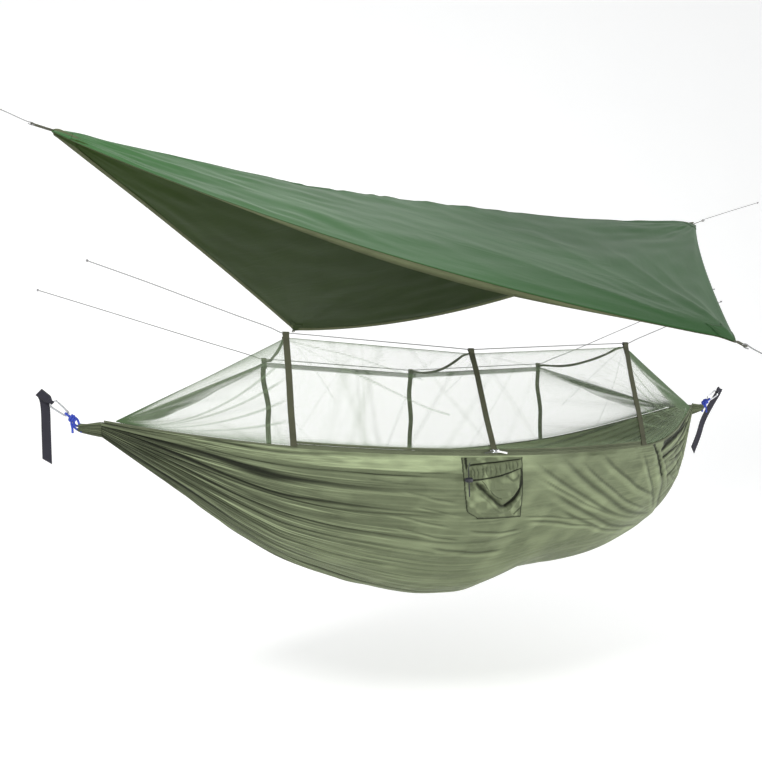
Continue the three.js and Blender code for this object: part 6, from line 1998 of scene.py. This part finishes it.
class HAMMOCK_OT_pocket(bpy.types.Operator):
    """Make the pocket with its ruffled channel, its drawcord and the cord lock"""

    bl_idname = "hammock.pocket"
    bl_label = "Pocket and cord lock"

    def execute(self, context):
        pouch, rows = self.pouch()
        dress(pouch, "bed_cloth", "bed", ["pocket_pouch"])
        thread = dress(stitches("pocket_stitches", rows, 0.0032, 0.0004), "thread", "bed")
        line = spline(POCKET_DRAWCORD, 4)
        cord = tubes("drawcord", [tube_parts(line, DRAWCORD_DIAMETER / 2, 10)])
        dress(cord, "drawcord", "bed", ["pocket_drawcord"])
        for part, body, edge in (("barrel", "cord_lock", 0.0006), ("plunger", "lock_button", 0.0005)):
            piece = refined(f"cord_lock_{part}", f"lock_{part}", edge)
            dress(piece, "plastic", body, [f"cord_lock_{part}"])
        finish_node("cord_lock_spring", "steel")
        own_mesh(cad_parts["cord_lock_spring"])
        return {"FINISHED"}

    def pouch(self):
        """A slack panel, sewn down on three sides, with a casing along its top that the cord ruffles."""
        columns, rows = 141, 121
        u, v = np.linspace(0, 1, columns), np.linspace(0, 1, rows)
        xs, drops = lerp(POCKET_START, POCKET_END, u), v * POCKET_HEIGHT
        shares = (xs - BED_START) / (BED_END - BED_START)
        turns = np.linspace(-0.999, -0.60, 161)
        base = bed_cloth(shares, turns)[0]
        out = -grid_normals(base)
        steps = np.linalg.norm(np.diff(base, axis=1), axis=2)
        down = np.concatenate([np.zeros((columns, 1)), np.cumsum(steps, axis=1)], 1)
        points, normals = np.empty((columns, rows, 3)), np.empty((columns, rows, 3))
        for i in range(columns):
            for axis in range(3):
                points[i, :, axis] = np.interp(drops + POCKET_TOP_DROP, down[i], base[i, :, axis])
                normals[i, :, axis] = np.interp(drops + POCKET_TOP_DROP, down[i], out[i, :, axis])
        uu, vv = crossed(u, v)
        inset = 0.10 * vv + 0.16 * smoothstep(0.80, 1.0, vv) ** 2
        near = np.round(np.clip(inset * (1 - uu) + uu, 0, 1) * (columns - 1)).astype(int)
        index = np.arange(rows)[None, :]
        base, normal = points[near, index], normals[near, index]
        width = POCKET_END - POCKET_START
        x, drop = uu * width, vv * POCKET_HEIGHT
        across = np.clip(2 * (x - 0.023) / (width - 0.023) - 1, -1, 1)
        full = (1 - np.abs(2 * uu - 1) ** 3) * smoothstep(1.0, 0.9, vv)
        casing_top = lerp(0.027, 0.006, uu)
        casing_foot = lerp(0.066, 0.030, uu**1.6)
        channel = (drop - casing_top) / (casing_foot - casing_top)
        below = np.clip((drop - casing_foot) / (POCKET_HEIGHT - casing_foot), 0, 1)
        stand = 0.0045 * (1 - below**2) + 0.013 * np.sin(math.pi * below**0.8)
        cased = smoothstep(0.016, 0.026, x) * smoothstep(1.0, 0.96, uu)
        tube = np.sin(math.pi * np.clip(channel, 0, 1)) ** 0.6 * cased
        pitch = across * 12 * math.pi + 2.2 * smooth_noise(across * 7, channel * 2, 80)
        away = 0.0012 + full * stand * smoothstep(-0.15, 0.1, channel)
        away = away + tube * (0.0060 + 0.0017 * np.cos(pitch)) + 0.0015 * full * np.clip(-channel, 0, 1)
        away = away + 0.0016 * full * np.cos(pitch) * np.exp(-np.abs(channel - 1.2) / 0.35) * (channel > 1)
        lines = bell(channel - 1.03, 0.07) + bell(channel + 0.04, 0.06)
        # Painted shade along the casing's top and foot, and in the ruffles' hollows.
        creased = np.maximum(0.85 * lines * cased, 0.4 * tube * np.clip(-np.cos(pitch), 0, 1))
        # A painted shadow beside the pouch's raised left side.
        creased = np.maximum(creased, 0.9 * bell(x - 0.012, 0.004) * smoothstep(0.3, 0.1, vv))
        for path, wide, rise, dark in POUCH_FOLDS:
            fold = fold_path(x, drop, [np.array(p) * (width, POCKET_HEIGHT) for p in path], wide)
            away = away + full**0.5 * rise * fold
            creased = np.maximum(creased, dark * fold)
        edge = np.minimum(np.minimum(uu, 1 - uu) * width, (1 - vv) * POCKET_HEIGHT)
        away = lerp(0.0010, np.maximum(away, 0.0012), smoothstep(0, 0.007, edge))
        # Painted shade round the sewn edges.
        creased = np.maximum(creased, np.exp(-edge / 0.0026))
        grid = base + normal * away[:, :, None]
        crested = np.clip(0.5 * smooth_noise(x * 60, drop * 60, 82), 0, 1)
        marks = {"creased": creased, "crested": crested}
        piece = surface("pocket_cloth", grid, CLOTH_THICKNESS, values=marks)
        lifted = base + normal * (away + CLOTH_THICKNESS)[:, :, None]
        seams = [lifted[3, 4:-4], lifted[-4, 4:-4], lifted[4:-4, -4]]
        return piece, [[Vector(p) for p in seam[::3]] for seam in seams]


# ---------------------------------------------------------------- rain sheet
def sheet_fold(u):
    line = lerp(np.array(SHEET_LEFT), np.array(SHEET_RIGHT), np.asarray(u)[..., None])
    line[..., 2] -= SHEET_RIDGE_SAG * 4 * u * (1 - u)
    return line


PATCH_SIZE = 0.058
TAB_WIDTH = 0.015
TAB_THICKNESS = 0.0018
TAB_HOLE = 0.007
EYELET_WIRE = 0.0009
HEM_ROLL = 0.018
SHEET_SHARES = np.linspace(SHEET_TRIM, 1 - SHEET_TRIM, 261)


def corner_share(corner):
    ridge = SHEET_RIGHT - SHEET_LEFT
    return (corner - SHEET_LEFT).dot(ridge) / ridge.length_squared


def sheet_edge(corner, sag, share):
    """The outer edge of one half: the longer of its two sides sags, and the shorter one is drawn in."""
    turn = corner_share(corner)
    left, right, tip = (np.array(v) for v in (SHEET_LEFT, SHEET_RIGHT, corner))
    on_left = share < turn
    t = np.where(on_left, share / turn, (share - turn) / (1 - turn))
    base = np.where(on_left[:, None], lerp(left, tip, t[:, None]), lerp(tip, right, t[:, None]))
    bow = 4 * t * (1 - t)
    inward = unit(sheet_fold(np.array(turn)) - tip)
    sagging = on_left == (turn > 0.5)
    base[:, 2] -= np.where(sagging, sag * bow, 0)
    return base + np.where(sagging, 0, SHEET_SIDE_BOW * bow)[:, None] * inward


# The creases that fan out of each corner: towards where, their spread, reach, height, number and seed.
SHEET_CREASES = (
    (SHEET_NEAR, (1.2, 0, 0.63), 0.75, 0.55, 0.011, 11, 61),
    (SHEET_RIGHT, (1.2, 0, 0.63), 0.8, 0.42, 0.008, 9, 62),
    (SHEET_LEFT, (1.2, 0, 0.63), 0.5, 0.6, 0.006, 8, 63),
    (SHEET_FAR, (1.0, 0, 0.65), 0.7, 0.5, 0.009, 9, 64),
)


def corner_creases(points, corner, towards, spread, reach, height, number, seed):
    """Tension creases that fan out of a corner, as a height on an array of points."""
    away = points - np.array(corner)
    distance = np.linalg.norm(away, axis=2)
    main = unit(np.array(towards) - np.array(corner))
    side = np.cross(grid_normals(points), main)
    angle = np.arctan2((away * side).sum(axis=2), (away * main).sum(axis=2))
    table = np.random.RandomState(seed).uniform(0, 1, (number, 4))
    relief = np.zeros(points.shape[:2])
    for k, (shift, width, tall, far) in enumerate(table):
        direction = spread * ((k + shift * 0.8) / number * 2 - 1)
        offset = np.abs(angle - direction) * distance
        wide = 0.006 + 0.02 * width + 0.06 * distance
        fade = bell(distance, reach * (0.5 + far)) * smoothstep(0, 0.05, distance)
        relief += (0.3 + 0.7 * tall) * np.exp(-offset / wide) * fade
    return relief * height


class HAMMOCK_OT_rain_sheet(bpy.types.Operator):
    """Make the rain sheet with its hems and tension creases"""

    bl_idname = "hammock.rain_sheet"
    bl_label = "Rain sheet"

    def execute(self, context):
        points = self.cloth_points(SHEET_SHARES, np.linspace(-1, 1, 141))
        piece = surface("rain_sheet_cloth", points, SHEET_THICKNESS)
        dress(piece, "rain_sheet", "ridge", ["rain_sheet"])
        # Faces that look down get the underside's painted shade.
        piece.data.materials.append(bpy.data.materials["rain_sheet_underside_finish"])
        for face in piece.data.polygons:
            face.material_index = 1 if face.normal.z < 0 else 0
        sewn = [self.hem(side, name) for side, name in ((-1, "near"), (1, "far"))]
        sewn.append(self.ridge_seam())
        fold_span = (SHEET_RIGHT - SHEET_LEFT).length
        trim, reach = SHEET_TRIM, SHEET_TRIM + PATCH_SIZE / fold_span
        half = PATCH_SIZE / fold_span / 2
        near, far = corner_share(SHEET_NEAR), corner_share(SHEET_FAR)
        corners = (
            ("left", (trim, reach), (-1, 1), sheet_fold(trim), (-0.973, 0, 0.23), 0.060),
            ("right", (1 - reach, 1 - trim), (-1, 1), sheet_fold(1 - trim), (0.937, 0, 0.35), 0.060),
            ("near", (near - half, near + half), (-1, -0.95), SHEET_NEAR, (0.05, -0.83, -0.556), 0.030),
            ("far", (far - half, far + half), (0.95, 1), SHEET_FAR, (0, 0.96, -0.2), 0.030),
        )
        for corner in corners:
            self.corner(*corner)
        return {"FINISHED"}

    def hem(self, side, name):
        """The cloth's edge, folded under and sewn down; the near one has rolled down along its middle."""
        points = self.cloth_points(SHEET_SHARES, np.linspace(-1, 1, 141))[:, ::-side]
        edge, inner = points[:, 0], points[:, 2]
        inward = unit(inner - edge)
        under = -grid_normals(points)[:, 2]
        under *= np.where(under[:, 2:] > 0, -1, 1)
        drop = np.zeros((len(points), 3))
        if side < 0:
            to_corner = SHEET_SHARES / corner_share(SHEET_NEAR)
            drop[:, 2] = -HEM_ROLL * smoothstep(0.25, 0.60, to_corner) * smoothstep(0.94, 0.66, to_corner)
        profile = (
            (-0.0006, 0.0006, 0), (-0.0012, 0.0016, 1), (0.004, 0.0022, 0.9), (0.022, 0.0018, 0),
            (0.024, 0.0008, 0),
        )
        rows = np.stack([edge + inward * a + under * h + drop * hanging for a, h, hanging in profile], axis=1)
        return dress(surface(f"sheet_hem_{name}", rows, 0.0005), "sheet_hem", "ridge")

    def ridge_seam(self):
        """The felled seam along the fold, where the two halves are sewn together."""
        shares = np.linspace(0.03, 0.97, 301)
        points = self.cloth_points(shares, np.array([-0.010, -0.006, 0, 0.006, 0.010]))
        lift = np.array([0.0004, 0.0012, 0.0014, 0.0012, 0.0004])
        rows = points + [0, 0, 1] * lift[None, :, None]
        return dress(surface("sheet_ridge_seam", rows), "rain_sheet", "ridge")

    def corner(self, name, shares, sides, tip, pull, reach):
        """A corner's patch over and under the cloth, and a webbing tab with an eyelet for the guyline."""
        points = self.cloth_points(np.linspace(*shares, 21), np.linspace(*sides, 25))
        normal = grid_normals(points)
        normal *= np.where(normal[:, :, 2:] < 0, -1, 1)
        over, under = 0.0011, -0.0018
        # The patch under the cloth gets the underside's painted shade.
        for lift, place, face in ((over, "over", "rain_sheet"), (under, "under", "rain_sheet_underside")):
            patch = surface(f"sheet_patch_{name}_{place}", points + normal * lift, CLOTH_THICKNESS)
            dress(patch, face, "ridge", [f"rain_sheet_corner_{name}"])
        raised = points + normal * (over + CLOTH_THICKNESS)
        rows = [raised[2, 2:-2], raised[-3, 2:-2], raised[2:-2, 2], raised[2:-2, -3]]
        lines = [[Vector(p) for p in row] for row in rows]
        dress(stitches(f"sheet_patch_stitches_{name}", lines, 0.005), "thread", "ridge")
        outward = Vector(pull).normalized()
        across = outward.cross(Vector((0, 0, 1))).normalized()
        start = Vector(tip) + Vector((0, 0, 0.0025))
        tab = self.tab(name, reach)
        tab.data.transform(frame_at(start, outward, across))
        dress(tab, "webbing", "ridge")
        ring = self.eyelet(name, reach)
        ring.data.transform(frame_at(start, outward, across))
        dress(ring, "steel", "ridge")

    def tab(self, name, reach):
        """Webbing along X with a rounded end and a punched hole."""
        half = TAB_WIDTH / 2
        strap = primitive("cube", f"sheet_tab_{name}", size=1, location=((reach - half) / 2, 0, 0),
                          scale=(reach - half, TAB_WIDTH, TAB_THICKNESS))
        end = (reach - half, 0, 0)
        boolean(strap, cylinder("end", half * 0.999, TAB_THICKNESS, 32, location=end), "UNION")
        boolean(strap, cylinder("hole", TAB_HOLE / 2 + 0.0003, 0.01, 24, location=end), "DIFFERENCE")
        rounded(strap, 0.0004, 50)
        flat = strap.data.uv_layers.new(name="Cloth") if not strap.data.uv_layers else strap.data.uv_layers[0]
        for loop in strap.data.loops:
            co = strap.data.vertices[loop.vertex_index].co
            flat.data[loop.index].uv = (co.x, co.y)
        return strap

    def eyelet(self, name, reach):
        """A rolled metal ring that lines the hole."""
        centre = Vector((reach - TAB_WIDTH / 2, 0, 0))
        start = centre + Vector((TAB_HOLE / 2 + EYELET_WIRE, 0, 0))
        section = primitive("circle", f"sheet_eyelet_{name}", vertices=10, radius=EYELET_WIRE,
                            location=start, rotation=(math.pi / 2, 0, 0))
        with editing(section):
            bpy.ops.mesh.spin(steps=32, angle=2 * math.pi, center=centre, axis=(0, 0, 1))
            bpy.ops.mesh.select_all(action="SELECT")
            bpy.ops.mesh.remove_doubles(threshold=1e-5)
        bpy.ops.object.shade_smooth()
        return section

    def cloth_points(self, shares, sides):
        fold = sheet_fold(shares)
        near = sheet_edge(SHEET_NEAR, SHEET_NEAR_SAG, shares)
        far = sheet_edge(SHEET_FAR, SHEET_FAR_SAG, shares)
        side = sides[None, :, None]
        edge = np.where(side < 0, near[:, None], far[:, None])
        points = lerp(fold[:, None], edge, np.abs(side))
        s, t = crossed(shares, sides)
        inside = smoothstep(1.0, 0.9, np.abs(t)) * smoothstep(0, 0.05, s) * smoothstep(1, 0.95, s)
        relief = sum(corner_creases(points, *creases) for creases in SHEET_CREASES)
        relief = relief + 0.007 * smooth_noise(s * 6 + t * 1.5, t * 3, 65) * inside
        relief = relief + 0.0025 * smooth_noise(s * 26 + t * 8, t * 9 - s * 9, 68) * inside
        pucker = bell(t, 0.03) * 0.0025 * smooth_noise(s * 95, t * 3, 66)
        middle = smoothstep(0.25, 0.35, s) * smoothstep(0.75, 0.6, s)
        relief = relief * (0.25 + 0.75 * inside) + pucker * middle
        return points + grid_normals(points) * relief[:, :, None]


# ---------------------------------------------------------------- panel and registration
class HAMMOCK_PT_panel(bpy.types.Panel):
    """Buttons and settings of the hammock"""

    bl_label = "Camping Hammock"
    bl_idname = "HAMMOCK_PT_panel"
    bl_space_type = "VIEW_3D"
    bl_region_type = "UI"
    bl_category = "Hammock"

    def draw(self, context):
        for operator in OPERATORS:
            self.layout.operator(operator.bl_idname)
        for label in SETTINGS:
            group = getattr(context.scene, label)
            for key in group.__annotations__:
                self.layout.prop(group, key)


SETTINGS = {
    "hammock_stage": StageSettings,
    "hammock_cloth": ClothSettings,
    "hammock_cords": CordSettings,
    "hammock_hardware": HardwareSettings,
}
OPERATORS = (
    HAMMOCK_OT_stage,
    HAMMOCK_OT_cords,
    HAMMOCK_OT_bed,
    HAMMOCK_OT_gathers,
    HAMMOCK_OT_net,
    HAMMOCK_OT_webbing,
    HAMMOCK_OT_zip,
    HAMMOCK_OT_carabiners,
    HAMMOCK_OT_suspension,
    HAMMOCK_OT_pocket,
    HAMMOCK_OT_rain_sheet,
)


def register():
    for cls in (*SETTINGS.values(), *OPERATORS, HAMMOCK_PT_panel):
        bpy.utils.register_class(cls)
    for label, group in SETTINGS.items():
        setattr(bpy.types.Scene, label, bpy.props.PointerProperty(type=group))


def unregister():
    for label in SETTINGS:
        delattr(bpy.types.Scene, label)
    for cls in reversed((*SETTINGS.values(), *OPERATORS, HAMMOCK_PT_panel)):
        bpy.utils.unregister_class(cls)


def main():
    register()
    for operator in OPERATORS:
        group, name = operator.bl_idname.split(".")
        getattr(getattr(bpy.ops, group), name)()


if __name__ == "__main__":
    main()
